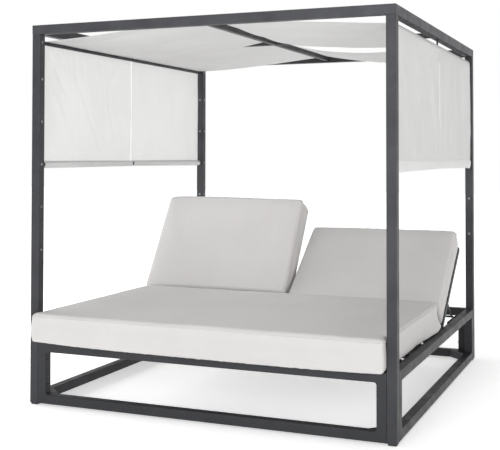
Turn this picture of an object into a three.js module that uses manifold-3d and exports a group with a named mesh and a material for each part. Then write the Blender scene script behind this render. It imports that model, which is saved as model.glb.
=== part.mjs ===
// Outdoor daybed with a canopy frame, two adjustable backrests and two hanging cloth strips.
// Millimetres, +Z up, +X to the right when seen from the foot end, +Y towards the head end.
// The origin is on the floor, under the middle of the whole daybed.

import * as THREE from 'three';
import { mergeVertices } from 'three/addons/utils/BufferGeometryUtils.js';
import Module from 'manifold-3d';

const wasm = await Module();
wasm.setup();

// Whole frame
const frameWidth = 1970;
const frameDepth = 2066;
const frameHeight = 2000;
const tubeSide = 48;
const tubeWall = 2;
const seam = 0.3;
const cutOverrun = 2;
const weldDepth = 1;

// Feet, and the spigots of the side top beams that drop into the posts
const glideHeight = 10;
const glideSide = 42;
const glidePlugHeight = 20;
const spigotHeight = 70;
const spigotNeck = 11;

// Base: four closed loops of tube, bolted to the posts
const baseTop = 327;
const loopCornerRadius = 12;
const drainRadius = 4;
const gussetLeg = 97;
const gussetWall = 4;
const boltLowHeight = 105;
const boltHighHeight = 237;
const boltHeadRadius = 8;
const boltHeadHeight = 5;
const boltShankRadius = 4;
const boltGrip = 12;
const boltHoleClearance = 0.4;

// Threaded inserts in the posts
const insertRadius = 6.5;
const insertHeight = 1.2;
const insertTopDrop = 196;
const insertPitch = 226;
const insertSteps = 5;
const insertSides = 6;

// Seat platform
const slatTop = 332;
const slatThickness = 14;
const slatWidth = 90;
const slatChamfer = 3;
const slatEndGap = 3;
const slatPanelGap = 6;
const slatPanelJoint = 645;
const frontSlatInset = 1;
const rearSlatInset = 115;
const slatLeastPitch = 160;
const ledgeLeg = 25;
const ledgeShelf = 11;
const ledgeWall = 3;
const supportBeamWidth = 40;
const supportBeamHeight = 45;
const backBeamHeight = 40;
const backBeamTop = 292;
const hingeReach = 45;
const crossbeamTop = 317;

// Seat cushion
const seatOverhang = 50;
const seatCushionGap = 7;
const cushionThickness = 148;
const cushionRadius = 20;
const cushionSideGap = 2;
const seatCrown = 6;
const backCrown = 12;
const drawIn = 6;

// Backrests: both hinge on one line and fold down to flat
const pivotDepth = 1285;
const pivotHeight = 317;
const leftBackAngle = 57.5;
const rightBackAngle = 37;
const backCentreGap = 46;
const backCushionGap = 16;
const backSideGap = 4;
const backBarWidth = 20;
const backBarHeight = 30;
const backBarHeel = 14;
const backBarLength = 680;
const backLowBarStart = 22;
const rungWidth = 60;
const rungThickness = 4;
const rungInset = 1;
const rungCount = 5;
const backCushionLength = 661;
const backCushionInset = 2;
const cushionSeat = 0.4;
const leftCushionRise = 88;
const rightCushionRise = 8;

// Hinge brackets and pins
const earThickness = 5;
const earGap = 2;
const earRadius = 14;
const pinRadius = 5;
const pinClearance = 0.3;
const pinHeadRadius = 8;
const pinHeadHeight = 3;

// Stays: two legs and a foot rod on each backrest, running over notched racks
const stayLength = 280;
const legThickness = 6;
const legHeight = 16;
const legGap = 3;
const footRodRadius = 6;
const footRodClearance = 0.4;
const rackThickness = 4;
const rackGap = 3;
const rackHeight = 24.6;
const rackMargin = 30;
const rackNotchWidth = 8;
const rackNotchDepth = 6;
const notchesBetweenRests = 6;

// Canopy
const roofBarSide = 28;
const rodRadius = 9;
const rodWall = 2;
const topRodDrop = 90;
const rodInsertRow = 2;
const hangerRadius = 5;
const clothThickness = 1.5;
const clothGap = 0.8;
const clothEdgeGap = 5;
const clothPostGap = 28;
const clothHeadGap = 17;
const clothBeamGap = 8;
const hemHeight = 26;
const curtainFold = 8;
const roofFold = 4;
const frontStripSags = { outer: 8, inner: 30, middle: 16 };
const rearStripSags = { outer: 20, inner: 38, middle: 8 };

// Counts, shares and phases, all without a unit
const roundSides = 12;
const smallSides = 8;
const clothColumns = 8;
const curtainRows = 7;
const roofRows = 7;
const wrapSteps = 6;
const foldCount = 2;
const roofFoldCount = 3;
const rimShare = 0.3;
const sidePhase = 0.8;
const endPhase = 0.5;
const rodQuarterSteps = 3;
const cornerSegments = 3;
const legSegments = 6;
const hemStartShare = 0.75;
const seatCushionSteps = [6, 5, 1];
const backCushionSteps = [4, 3, 1];

// Places worked out from the sizes above
const halfWidth = frameWidth / 2;
const innerHalf = halfWidth - tubeSide;
const postX = halfWidth - tubeSide / 2;
const rearInner = frameDepth - tubeSide;
const middleY = frameDepth / 2;
const topFrameBottom = frameHeight - tubeSide;
const topRodHeight = frameHeight - topRodDrop;
const insertTop = topRodHeight - insertTopDrop;
const bottomRodHeight = insertTop - rodInsertRow * insertPitch;
const loopHeight = baseTop - glideHeight;
const slatBottom = slatTop - slatThickness;
const crossbeamRear = pivotDepth - hingeReach;
const crossbeamFront = crossbeamRear - tubeSide;
const seatCushionEnd = crossbeamFront - seatCushionGap;
const foldLine = stayLength * 2;

const aluminium = { color: 0x55575c, roughness: 0.55, metalness: 0.25 };
const plastic = { color: 0x17181a, roughness: 0.7, metalness: 0 };
const zinc = { color: 0x9a9c9e, roughness: 0.4, metalness: 0.8 };
const cushionCloth = { color: 0xdedbd6, roughness: 0.95, metalness: 0 };
const canopyCloth = { color: 0xe8e7e4, roughness: 0.95, metalness: 0 };

const daybed = new THREE.Group();
daybed.position.y = -(frameDepth - seatOverhang) / 2;

function addPiece(name, geometry, look, parent = daybed) {
  const piece = new THREE.Mesh(geometry, new THREE.MeshStandardMaterial(look));
  piece.name = name;
  parent.add(piece);
  return piece;
}

// Boolean solids

function solidOf(geometry) {
  const bare = geometry.clone();
  bare.deleteAttribute('normal');
  bare.deleteAttribute('uv');
  const welded = mergeVertices(bare);
  const mesh = new wasm.Mesh({
    numProp: 3,
    vertProperties: new Float32Array(welded.attributes.position.array),
    triVerts: new Uint32Array(welded.index.array),
  });
  return new wasm.Manifold(mesh);
}

function geometryOf(solid) {
  const mesh = solid.getMesh();
  const geometry = new THREE.BufferGeometry();
  geometry.setAttribute('position', new THREE.Float32BufferAttribute(mesh.vertProperties, 3));
  geometry.setIndex(Array.from(mesh.triVerts));
  geometry.computeVertexNormals();
  return geometry;
}

function cutAway(geometry, cutters) {
  const cut = cutters.reduce((solid, cutter) => solid.subtract(solidOf(cutter)), solidOf(geometry));
  return geometryOf(cut);
}

function joined(geometries) {
  const [first, ...others] = geometries.map(solidOf);
  return geometryOf(others.reduce((solid, other) => solid.add(other), first));
}

// Basic shapes

function boxBetween(low, high) {
  const size = high.map((value, axis) => value - low[axis]);
  const middle = high.map((value, axis) => (value + low[axis]) / 2);
  return new THREE.BoxGeometry(...size).translate(...middle);
}

function cylinderAlong(axis, radius, length, sides) {
  const cylinder = new THREE.CylinderGeometry(radius, radius, length, sides);
  if (axis === 'x') return cylinder.rotateZ(-Math.PI / 2);
  if (axis === 'z') return cylinder.rotateX(Math.PI / 2);
  return cylinder;
}

function addRectangle(path, x0, y0, x1, y1) {
  path.moveTo(x0, y0);
  path.lineTo(x1, y0);
  path.lineTo(x1, y1);
  path.lineTo(x0, y1);
  path.closePath();
  return path;
}

function addRoundedRectangle(path, x0, y0, x1, y1, radius) {
  path.moveTo(x0 + radius, y0);
  path.lineTo(x1 - radius, y0);
  path.absarc(x1 - radius, y0 + radius, radius, -Math.PI / 2, 0);
  path.lineTo(x1, y1 - radius);
  path.absarc(x1 - radius, y1 - radius, radius, 0, Math.PI / 2);
  path.lineTo(x0 + radius, y1);
  path.absarc(x0 + radius, y1 - radius, radius, Math.PI / 2, Math.PI);
  path.lineTo(x0, y0 + radius);
  path.absarc(x0 + radius, y0 + radius, radius, Math.PI, Math.PI * 1.5);
  return path;
}

// A hollow tube that runs up local Z from zero, its section centred on the axis
function hollowTube(width, height, length) {
  const section = addRectangle(new THREE.Shape(), -width / 2, -height / 2, width / 2, height / 2);
  const bore = addRectangle(
    new THREE.Path(),
    tubeWall - width / 2, tubeWall - height / 2, width / 2 - tubeWall, height / 2 - tubeWall,
  );
  section.holes.push(bore);
  return new THREE.ExtrudeGeometry(section, { depth: length, bevelEnabled: false });
}

function tubeAlongX(width, height, x0, x1, y, z) {
  return hollowTube(height, width, x1 - x0).rotateY(Math.PI / 2).translate(x0, y, z);
}

function tubeAlongY(width, height, y0, y1, x, z) {
  return hollowTube(width, height, y1 - y0).rotateX(-Math.PI / 2).translate(x, y0, z);
}

// A pin, bolt or screw: its head lies below zero and its shank runs up local Z
function headedPin(headRadius, headHeight, shankRadius, shankLength, sides) {
  const profile = [
    new THREE.Vector2(0, -headHeight),
    new THREE.Vector2(headRadius, -headHeight),
    new THREE.Vector2(headRadius, 0),
    new THREE.Vector2(shankRadius, 0),
    new THREE.Vector2(shankRadius, shankLength),
    new THREE.Vector2(0, shankLength),
  ];
  return new THREE.LatheGeometry(profile, sides).rotateX(Math.PI / 2);
}

// Points a pin that runs up Z along X or Y, to the positive or the negative side
function pointed(geometry, axis, direction) {
  if (axis === 'x') return geometry.rotateY((direction * Math.PI) / 2);
  return geometry.rotateX((-direction * Math.PI) / 2);
}

// Posts, feet and top frame

const corners = [
  { name: 'front_left', side: -1, end: -1 },
  { name: 'front_right', side: 1, end: -1 },
  { name: 'rear_left', side: -1, end: 1 },
  { name: 'rear_right', side: 1, end: 1 },
].map((corner) => ({
  ...corner,
  x: corner.side * postX,
  y: corner.end < 0 ? tubeSide / 2 : frameDepth - tubeSide / 2,
}));

const boltHeights = [boltLowHeight, boltHighHeight];

// One entry for each bolt: the middle of the post's inner face that it enters, and its direction
function boltPlaces(corner) {
  const half = tubeSide / 2;
  return boltHeights.flatMap((z) => [
    { axis: 'x', direction: corner.side, x: corner.x - corner.side * half, y: corner.y, z },
    { axis: 'y', direction: corner.end, x: corner.x, y: corner.y - corner.end * half, z },
  ]);
}

function boltHole({ axis, x, y, z }) {
  const radius = boltShankRadius + boltHoleClearance;
  const length = (tubeWall + cutOverrun) * 2;
  return cylinderAlong(axis, radius, length, smallSides).translate(x, y, z);
}

// Threaded inserts on the two inner faces of each post. The bottom rods hide theirs.

const insertHeights = Array.from({ length: insertSteps }, (_, row) => insertTop - row * insertPitch);

function insertGeometry(corner, axis, z) {
  const stand = (tubeSide + insertHeight - weldDepth) / 2;
  return cylinderAlong(axis, insertRadius, insertHeight + weldDepth, insertSides).translate(
    corner.x - (axis === 'x' ? corner.side * stand : 0),
    corner.y - (axis === 'y' ? corner.end * stand : 0),
    z,
  );
}

function insertsOf(corner) {
  const sideFace = [...insertHeights, topRodHeight].map((z) => insertGeometry(corner, 'x', z));
  const free = insertHeights.filter((_, row) => row !== rodInsertRow);
  return [...sideFace, ...free.map((z) => insertGeometry(corner, 'y', z))];
}

function postGeometry(corner) {
  const length = topFrameBottom - seam - glideHeight;
  const tube = hollowTube(tubeSide, tubeSide, length).translate(corner.x, corner.y, glideHeight);
  return cutAway(joined([tube, ...insertsOf(corner)]), boltPlaces(corner).map(boltHole));
}

// A square plug that fits inside the tube of a post
function plugGeometry(corner, low, high) {
  const half = tubeSide / 2 - tubeWall - seam;
  return boxBetween([corner.x - half, corner.y - half, low], [corner.x + half, corner.y + half, high]);
}

function glideGeometry(corner) {
  const height = glideHeight - seam;
  const foot = new THREE.BoxGeometry(glideSide, glideSide, height);
  foot.translate(corner.x, corner.y, height / 2);
  return joined([foot, plugGeometry(corner, height - weldDepth, glideHeight + glidePlugHeight)]);
}

for (const corner of corners) {
  addPiece(`${corner.name}_post`, postGeometry(corner), aluminium);
  addPiece(`${corner.name}_foot_glide`, glideGeometry(corner), plastic);
}

// A beam of the top frame with both ends mitred. Its outer face is at local x = 0.
function mitredBeam(length) {
  const beam = hollowTube(tubeSide, tubeSide, length).translate(tubeSide / 2, 0, 0);
  const place = beam.attributes.position;
  for (let index = 0; index < place.count; index += 1) {
    const setBack = place.getX(index) + seam;
    const atStart = place.getZ(index) < length / 2;
    place.setZ(index, atStart ? setBack : length - setBack);
  }
  return beam;
}

const beamHeight = topFrameBottom + tubeSide / 2;

addPiece(
  'front_top_beam',
  mitredBeam(frameWidth).rotateZ(Math.PI / 2).rotateY(Math.PI / 2).translate(-halfWidth, 0, beamHeight),
  aluminium,
);
addPiece(
  'rear_top_beam',
  mitredBeam(frameWidth).rotateZ(-Math.PI / 2).rotateY(Math.PI / 2)
    .translate(-halfWidth, frameDepth, beamHeight),
  aluminium,
);
// A side beam also carries the spigots that drop into the two posts under its ends
function withSpigots(beam, side) {
  const low = topFrameBottom - seam - spigotHeight;
  const high = topFrameBottom + weldDepth;
  const under = corners.filter((corner) => corner.side === side);
  const plugs = under.map((corner) => plugGeometry(corner, low, topFrameBottom - seam));
  const necks = under.map((corner) => {
    const outer = corner.x + side * (tubeSide / 2 - tubeWall - seam);
    const x = [outer, outer - side * spigotNeck].sort((a, b) => a - b);
    const y = corner.y - corner.end * spigotNeck;
    const bottom = topFrameBottom - seam - weldDepth;
    return boxBetween([x[0], y - spigotNeck / 2, bottom], [x[1], y + spigotNeck / 2, high]);
  });
  return joined([beam, ...plugs, ...necks]);
}

addPiece(
  'left_top_beam',
  withSpigots(mitredBeam(frameDepth).rotateX(-Math.PI / 2).translate(-halfWidth, 0, beamHeight), -1),
  aluminium,
);
addPiece(
  'right_top_beam',
  withSpigots(
    mitredBeam(frameDepth).rotateZ(Math.PI).rotateX(-Math.PI / 2).translate(halfWidth, 0, beamHeight),
    1,
  ),
  aluminium,
);

// Roof bars: one across, and one from front to rear in two lengths

const barFront = middleY - roofBarSide / 2;
const barRear = middleY + roofBarSide / 2;

addPiece(
  'cross_roof_bar',
  tubeAlongX(roofBarSide, roofBarSide, seam - innerHalf, innerHalf - seam, middleY, beamHeight),
  aluminium,
);
addPiece(
  'front_roof_bar',
  tubeAlongY(roofBarSide, roofBarSide, tubeSide + seam, barFront - seam, 0, beamHeight),
  aluminium,
);
addPiece(
  'rear_roof_bar',
  tubeAlongY(roofBarSide, roofBarSide, barRear + seam, rearInner - seam, 0, beamHeight),
  aluminium,
);

// Base loops

// A ring of square tube in local X-Y, centred in X, with its lower edge at zero and depth along Z
function ringSolid(width, height, inset, depth, startDepth) {
  const band = tubeSide - inset * 2;
  const outer = width / 2 - inset;
  const shape = addRectangle(new THREE.Shape(), -outer, inset, outer, height - inset);
  const edge = inset + band;
  const radius = Math.max(loopCornerRadius - inset, seam);
  shape.holes.push(
    addRoundedRectangle(new THREE.Path(), edge - width / 2, edge, width / 2 - edge, height - edge, radius),
  );
  const options = { depth, bevelEnabled: false, curveSegments: cornerSegments };
  return new THREE.ExtrudeGeometry(shape, options).translate(0, 0, startDepth);
}

function loopGeometry(width) {
  const outside = ringSolid(width, loopHeight, 0, tubeSide, 0);
  const inside = ringSolid(width, loopHeight, tubeWall, tubeSide - tubeWall * 2, tubeWall);
  const drain = cylinderAlong('y', drainRadius, (tubeWall + cutOverrun) * 2, smallSides)
    .translate(0, 0, tubeSide / 2);
  return cutAway(outside, [inside, drain]);
}

function acrossLoop(y0) {
  return loopGeometry((innerHalf - seam) * 2)
    .rotateX(Math.PI / 2)
    .translate(0, y0 + tubeSide, glideHeight);
}

function sideLoop(x0) {
  return loopGeometry(rearInner - tubeSide - seam * 2)
    .rotateX(Math.PI / 2)
    .rotateZ(Math.PI / 2)
    .translate(x0, middleY, glideHeight);
}

// The capped bolts of a loop go through its leg and into the post beside it
function boltGeometry(place) {
  const legWidth = tubeSide + seam;
  const reach = legWidth + tubeWall + boltGrip;
  const bolt = headedPin(boltHeadRadius, boltHeadHeight, boltShankRadius, reach, smallSides);
  const shift = -place.direction * legWidth;
  return pointed(bolt, place.axis, place.direction).translate(
    place.x + (place.axis === 'x' ? shift : 0),
    place.y + (place.axis === 'y' ? shift : 0),
    place.z,
  );
}

function bolted(loop, axis, isBeside) {
  const places = corners.filter(isBeside).flatMap(boltPlaces);
  return joined([loop, ...places.filter((place) => place.axis === axis).map(boltGeometry)]);
}

addPiece('front_base_loop', bolted(acrossLoop(0), 'x', (corner) => corner.end < 0), aluminium);
addPiece('rear_base_loop', bolted(acrossLoop(rearInner), 'x', (corner) => corner.end > 0), aluminium);
addPiece('left_base_loop', bolted(sideLoop(-halfWidth), 'y', (corner) => corner.side < 0), aluminium);
addPiece('right_base_loop', bolted(sideLoop(innerHalf), 'y', (corner) => corner.side > 0), aluminium);

// Triangular gussets in the lower corners of the base, hollow from below
function gussetGeometry(corner) {
  function prism(inset, low, high) {
    const leg = gussetLeg - inset * 3;
    const shape = new THREE.Shape();
    shape.moveTo(inset, inset);
    shape.lineTo(inset + leg, inset);
    shape.lineTo(inset, inset + leg);
    shape.closePath();
    return new THREE.ExtrudeGeometry(shape, { depth: high - low, bevelEnabled: false })
      .translate(0, 0, low);
  }
  const pocket = prism(gussetWall, -cutOverrun, tubeSide - gussetWall);
  const turn = { '-1,-1': 0, '1,-1': 1, '1,1': 2, '-1,1': 3 }[`${corner.side},${corner.end}`];
  return cutAway(prism(0, 0, tubeSide), [pocket])
    .rotateZ((turn * Math.PI) / 2)
    .translate(
      corner.side * (innerHalf - seam),
      corner.end < 0 ? tubeSide + seam : rearInner - seam,
      glideHeight,
    );
}

for (const corner of corners) {
  addPiece(`${corner.name}_gusset`, gussetGeometry(corner), aluminium);
}

// Seat platform

addPiece(
  'seat_support_beam',
  tubeAlongY(
    supportBeamWidth, supportBeamHeight, tubeSide + seam, crossbeamFront - seam,
    0, slatBottom - seam - supportBeamHeight / 2,
  ),
  aluminium,
);
addPiece(
  'back_support_beam',
  tubeAlongY(
    supportBeamWidth, backBeamHeight, crossbeamRear + seam, rearInner - seam,
    0, backBeamTop - backBeamHeight / 2,
  ),
  aluminium,
);
// An angle strip along each side rail that carries the slat ends
function ledgeGeometry(side) {
  const wall = side * (innerHalf - seam);
  const top = slatBottom - seam;
  const upright = [wall, wall - side * ledgeWall].sort((a, b) => a - b);
  const shelf = [wall, wall - side * ledgeShelf].sort((a, b) => a - b);
  const y0 = tubeSide + seam;
  const y1 = crossbeamFront - seam;
  return joined([
    boxBetween([upright[0], y0, top - ledgeLeg], [upright[1], y1, top]),
    boxBetween([shelf[0], y0, top - ledgeWall], [shelf[1], y1, top]),
  ]);
}

addPiece('left_slat_ledge', ledgeGeometry(-1), aluminium);
addPiece('right_slat_ledge', ledgeGeometry(1), aluminium);

// A slat is a flat hollow tube with its upper edges bevelled
function slatGeometry() {
  const half = slatWidth / 2;
  const shape = new THREE.Shape();
  shape.moveTo(-half, 0);
  shape.lineTo(half, 0);
  shape.lineTo(half, slatThickness - slatChamfer);
  shape.lineTo(half - slatChamfer, slatThickness);
  shape.lineTo(slatChamfer - half, slatThickness);
  shape.lineTo(-half, slatThickness - slatChamfer);
  shape.closePath();
  const hollow = half - slatChamfer;
  shape.holes.push(addRectangle(new THREE.Path(), -hollow, tubeWall, hollow, slatThickness - tubeWall));
  const length = (innerHalf - slatEndGap) * 2;
  return new THREE.ExtrudeGeometry(shape, { depth: length, bevelEnabled: false })
    .translate(0, 0, -length / 2)
    .rotateX(Math.PI / 2)
    .rotateZ(Math.PI / 2);
}

// The slats stand in two panels that meet at one joint, evenly spread between their end slats,
// as many as the least pitch leaves room for
function slatCentres() {
  const frontFirst = tubeSide + frontSlatInset + slatWidth / 2;
  const frontLast = slatPanelJoint - slatPanelGap / 2 - slatWidth / 2;
  const rearFirst = slatPanelJoint + slatPanelGap / 2 + slatWidth / 2;
  const rearLast = crossbeamFront - rearSlatInset - slatWidth / 2;
  const spread = (first, last) => {
    const steps = Math.max(1, Math.floor((last - first) / slatLeastPitch));
    return Array.from({ length: steps + 1 }, (_, index) => first + ((last - first) * index) / steps);
  };
  return [...spread(frontFirst, frontLast), ...spread(rearFirst, rearLast)];
}

slatCentres().forEach((y, index) => {
  addPiece(`seat_slat_${index + 1}`, slatGeometry().translate(0, y, slatBottom), aluminium);
});

// Cushions

// Grid stations along one side of a cushion: close together where its edges are rounded
function cushionStations(length, radius, middleSteps) {
  const half = length / 2;
  const rim = [half, half - radius * rimShare, half - radius];
  const inner = Array.from(
    { length: middleSteps - 1 },
    (_, index) => (radius - half) * (1 - (2 * (index + 1)) / middleSteps),
  );
  return [...rim.map((value) => -value), ...inner, ...rim.reverse()];
}

function clampTo(value, limit) {
  return Math.min(Math.max(value, -limit), limit);
}

// A cushion centred in X and Y that stands on zero, with rounded edges, drawn-in sides and a crown
function cushionGeometry(size, crown, steps) {
  const stations = size.map((length, axis) => cushionStations(length, cushionRadius, steps[axis]));
  const counts = stations.map((list) => list.length - 1);
  const box = new THREE.BoxGeometry(2, 2, 2, ...counts);
  box.deleteAttribute('normal');
  box.deleteAttribute('uv');
  const cushion = mergeVertices(box);
  const place = cushion.attributes.position;
  for (let index = 0; index < place.count; index += 1) {
    const raw = [place.getX(index), place.getY(index), place.getZ(index)];
    const spot = raw.map((value, axis) => stations[axis][Math.round(((value + 1) / 2) * counts[axis])]);
    const core = spot.map((value, axis) => clampTo(value, size[axis] / 2 - cushionRadius));
    const reach = Math.hypot(...spot.map((value, axis) => value - core[axis]));
    const round = spot.map((value, axis) => core[axis] + ((value - core[axis]) * cushionRadius) / reach);
    const across = round[0] / (size[0] / 2);
    const along = round[1] / (size[1] / 2);
    const lift = round[2] / size[2] + 0.5;
    place.setXYZ(
      index,
      round[0] - drawIn * across * (1 - along * along),
      round[1] - drawIn * along * (1 - across * across),
      round[2] + size[2] / 2 + crown * lift * (1 - across * across) * (1 - along * along),
    );
  }
  cushion.computeVertexNormals();
  return cushion;
}

const seatCushionLength = seatCushionEnd + seatOverhang;

const seatCushionSize = [(innerHalf - cushionSideGap) * 2, seatCushionLength, cushionThickness];

addPiece(
  'seat_cushion',
  cushionGeometry(seatCushionSize, seatCrown, seatCushionSteps)
    .translate(0, seatCushionLength / 2 - seatOverhang, slatTop + seam),
  cushionCloth,
);

// Backrests. Each is built lying flat: local Y runs up the back from the hinge line, Z is its face.

const backInnerX = backCentreGap / 2;
const backOuterX = innerHalf - backSideGap;
const innerBarX = backInnerX + backBarWidth;
const outerBarX = backOuterX - backBarWidth;
const halfBar = backBarHeight / 2;

function pinBore(x, y, radius) {
  const length = backBarWidth + cutOverrun * 2;
  return cylinderAlong('x', radius + pinClearance, length, roundSides).translate(x, y, 0);
}

// The side bars with the low bar and the top bar between them
function backRingGeometry(lowBarEnd, topBarStart) {
  const outline = new THREE.Shape();
  outline.moveTo(backInnerX, -backBarHeel);
  outline.lineTo(innerBarX, -backBarHeel);
  outline.lineTo(innerBarX, backLowBarStart);
  outline.lineTo(outerBarX, backLowBarStart);
  outline.lineTo(outerBarX, -backBarHeel);
  outline.lineTo(backOuterX, -backBarHeel);
  outline.lineTo(backOuterX, backBarLength);
  outline.lineTo(backInnerX, backBarLength);
  outline.closePath();
  outline.holes.push(addRectangle(new THREE.Path(), innerBarX, lowBarEnd, outerBarX, topBarStart));
  return new THREE.ExtrudeGeometry(outline, { depth: backBarHeight, bevelEnabled: false })
    .translate(0, 0, -halfBar);
}

function backFrameGeometry() {
  const lowBarEnd = backLowBarStart + backBarWidth;
  const topBarStart = backBarLength - backBarWidth;
  const rungGap = (topBarStart - lowBarEnd - rungCount * rungWidth) / (rungCount + 1);
  const rungTop = halfBar - rungInset;
  const rungs = Array.from({ length: rungCount }, (_, index) => {
    const start = lowBarEnd + rungGap + index * (rungWidth + rungGap);
    return boxBetween(
      [innerBarX - weldDepth, start, rungTop - rungThickness],
      [outerBarX + weldDepth, start + rungWidth, rungTop],
    );
  });
  const barCentres = [backInnerX + backBarWidth / 2, backOuterX - backBarWidth / 2];
  const bores = barCentres.map((x) => pinBore(x, 0, pinRadius));
  const frame = joined([backRingGeometry(lowBarEnd, topBarStart), ...rungs, ...stayStuds()]);
  return cutAway(frame, bores);
}

// A leg of the stay: a flat bar with round ends, bored for the stud that it turns on
function legGeometry(x0) {
  const radius = legHeight / 2;
  const outline = new THREE.Shape();
  outline.absarc(0, 0, radius, Math.PI / 2, Math.PI * 1.5);
  outline.lineTo(stayLength, -radius);
  outline.absarc(stayLength, 0, radius, -Math.PI / 2, Math.PI / 2);
  outline.closePath();
  const options = { depth: legThickness, bevelEnabled: false, curveSegments: legSegments };
  const leg = new THREE.ExtrudeGeometry(outline, options)
    .rotateX(Math.PI / 2)
    .rotateZ(Math.PI / 2)
    .translate(x0, 0, 0);
  const length = (legThickness + cutOverrun) * 2;
  const hole = cylinderAlong('x', pinRadius + pinClearance, length, roundSides).translate(x0, 0, 0);
  return cutAway(leg, [hole]);
}

const innerRackX = innerBarX + rackGap;
const outerRackX = outerBarX - rackGap - rackThickness;
const innerLegX = innerRackX + rackThickness + legGap;
const outerLegX = outerRackX - legGap - legThickness;

// Headed studs on the inner faces of the side bars, which the legs of the stay turn on
function stayStuds() {
  const shank = legThickness + legGap + rackThickness + rackGap + seam + weldDepth;
  const stud = () => headedPin(pinHeadRadius, pinHeadHeight, pinRadius, shank, roundSides);
  return [
    pointed(stud(), 'x', 1).translate(outerLegX - seam, stayLength, 0),
    pointed(stud(), 'x', -1).translate(innerLegX + legThickness + seam, stayLength, 0),
  ];
}

function stayGeometry() {
  const x0 = innerRackX - rackGap / 2;
  const x1 = outerRackX + rackThickness + rackGap / 2;
  const footRod = cylinderAlong('x', footRodRadius, x1 - x0, roundSides)
    .translate((x0 + x1) / 2, stayLength, 0);
  return joined([legGeometry(innerLegX), legGeometry(outerLegX), footRod]);
}

// Mirrors a closed geometry in X and turns its faces the right way out again
function mirrored(geometry) {
  const copy = geometry.index ? geometry.toNonIndexed() : geometry.clone();
  copy.scale(-1, 1, 1);
  const place = copy.attributes.position;
  const corner = new THREE.Vector3();
  const other = new THREE.Vector3();
  for (let index = 0; index < place.count; index += 3) {
    corner.fromBufferAttribute(place, index);
    other.fromBufferAttribute(place, index + 1);
    place.setXYZ(index, other.x, other.y, other.z);
    place.setXYZ(index + 1, corner.x, corner.y, corner.z);
  }
  copy.computeVertexNormals();
  return copy;
}

function onSide(geometry, side) {
  return side > 0 ? geometry : mirrored(geometry);
}

const backCushionInnerX = backCushionGap / 2;
const backCushionOuterX = backOuterX - backCushionInset;
const backCushionWidth = backCushionOuterX - backCushionInnerX;
const backCushionX = (backCushionOuterX + backCushionInnerX) / 2;

function addBackrest(name, side, angle, cushionRise) {
  const back = new THREE.Group();
  back.position.set(0, pivotDepth, pivotHeight);
  back.rotation.x = THREE.MathUtils.degToRad(angle);
  daybed.add(back);
  addPiece(`${name}_back_frame`, onSide(backFrameGeometry(), side), aluminium, back);
  addPiece(
    `${name}_back_cushion`,
    cushionGeometry([backCushionWidth, backCushionLength, cushionThickness], backCrown, backCushionSteps)
      .translate(side * backCushionX, cushionRise + backCushionLength / 2, halfBar + cushionSeat),
    cushionCloth,
    back,
  );
  const stay = new THREE.Group();
  stay.position.set(0, stayLength, 0);
  stay.rotation.x = -2 * back.rotation.x;
  back.add(stay);
  addPiece(`${name}_stay`, onSide(stayGeometry(), side), zinc, stay);
}

addBackrest('left', -1, leftBackAngle, leftCushionRise);
addBackrest('right', 1, rightBackAngle, rightCushionRise);

// The crossbeam, with four bracket ears welded to its rear face, and the hinge pins through them

function earGeometry(x0) {
  const outline = new THREE.Shape();
  const heel = crossbeamRear - pivotDepth - weldDepth;
  outline.moveTo(heel, -earRadius);
  outline.lineTo(0, -earRadius);
  outline.absarc(0, 0, earRadius, -Math.PI / 2, Math.PI / 2);
  outline.lineTo(0, 0);
  outline.lineTo(heel, 0);
  outline.closePath();
  const options = { depth: earThickness, bevelEnabled: false, curveSegments: legSegments };
  const ear = new THREE.ExtrudeGeometry(outline, options)
    .rotateX(Math.PI / 2)
    .rotateZ(Math.PI / 2)
    .translate(x0, pivotDepth, pivotHeight);
  const bore = cylinderAlong('x', pinRadius + pinClearance, (earThickness + cutOverrun) * 2, roundSides)
    .translate(x0, pivotDepth, pivotHeight);
  return cutAway(ear, [bore]);
}

const innerEarX = innerBarX + earGap;
const outerEarX = outerBarX - earGap - earThickness;
const rightEars = [earGeometry(innerEarX), earGeometry(outerEarX)];
const crossbeam = tubeAlongX(
  tubeSide, tubeSide, seam - innerHalf, innerHalf - seam,
  crossbeamFront + tubeSide / 2, crossbeamTop - tubeSide / 2,
);

addPiece('hinge_crossbeam', joined([crossbeam, ...rightEars, ...rightEars.map(mirrored)]), aluminium);

function hingePinGeometry(x, direction) {
  const shank = earThickness + earGap + backBarWidth - cutOverrun;
  return pointed(headedPin(pinHeadRadius, pinHeadHeight, pinRadius, shank, roundSides), 'x', direction)
    .translate(x - direction * seam, pivotDepth, pivotHeight);
}

for (const [name, side] of [['left', -1], ['right', 1]]) {
  const innerPin = hingePinGeometry(innerEarX + earThickness, -1);
  const outerPin = hingePinGeometry(outerEarX, 1);
  addPiece(`${name}_inner_hinge_pin`, onSide(innerPin, side), zinc);
  addPiece(`${name}_outer_hinge_pin`, onSide(outerPin, side), zinc);
}

// Racks: notched strips under the foot rods, each on a flange that reaches its rail or beam

function footPlace(angle) {
  return pivotDepth + foldLine * Math.cos(THREE.MathUtils.degToRad(angle));
}

const steepFoot = footPlace(leftBackAngle);
const notchPitch = (footPlace(rightBackAngle) - steepFoot) / notchesBetweenRests;
const rackTop = pivotHeight - footRodRadius - footRodClearance;
const rackLow = rackTop - rackHeight;

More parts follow.
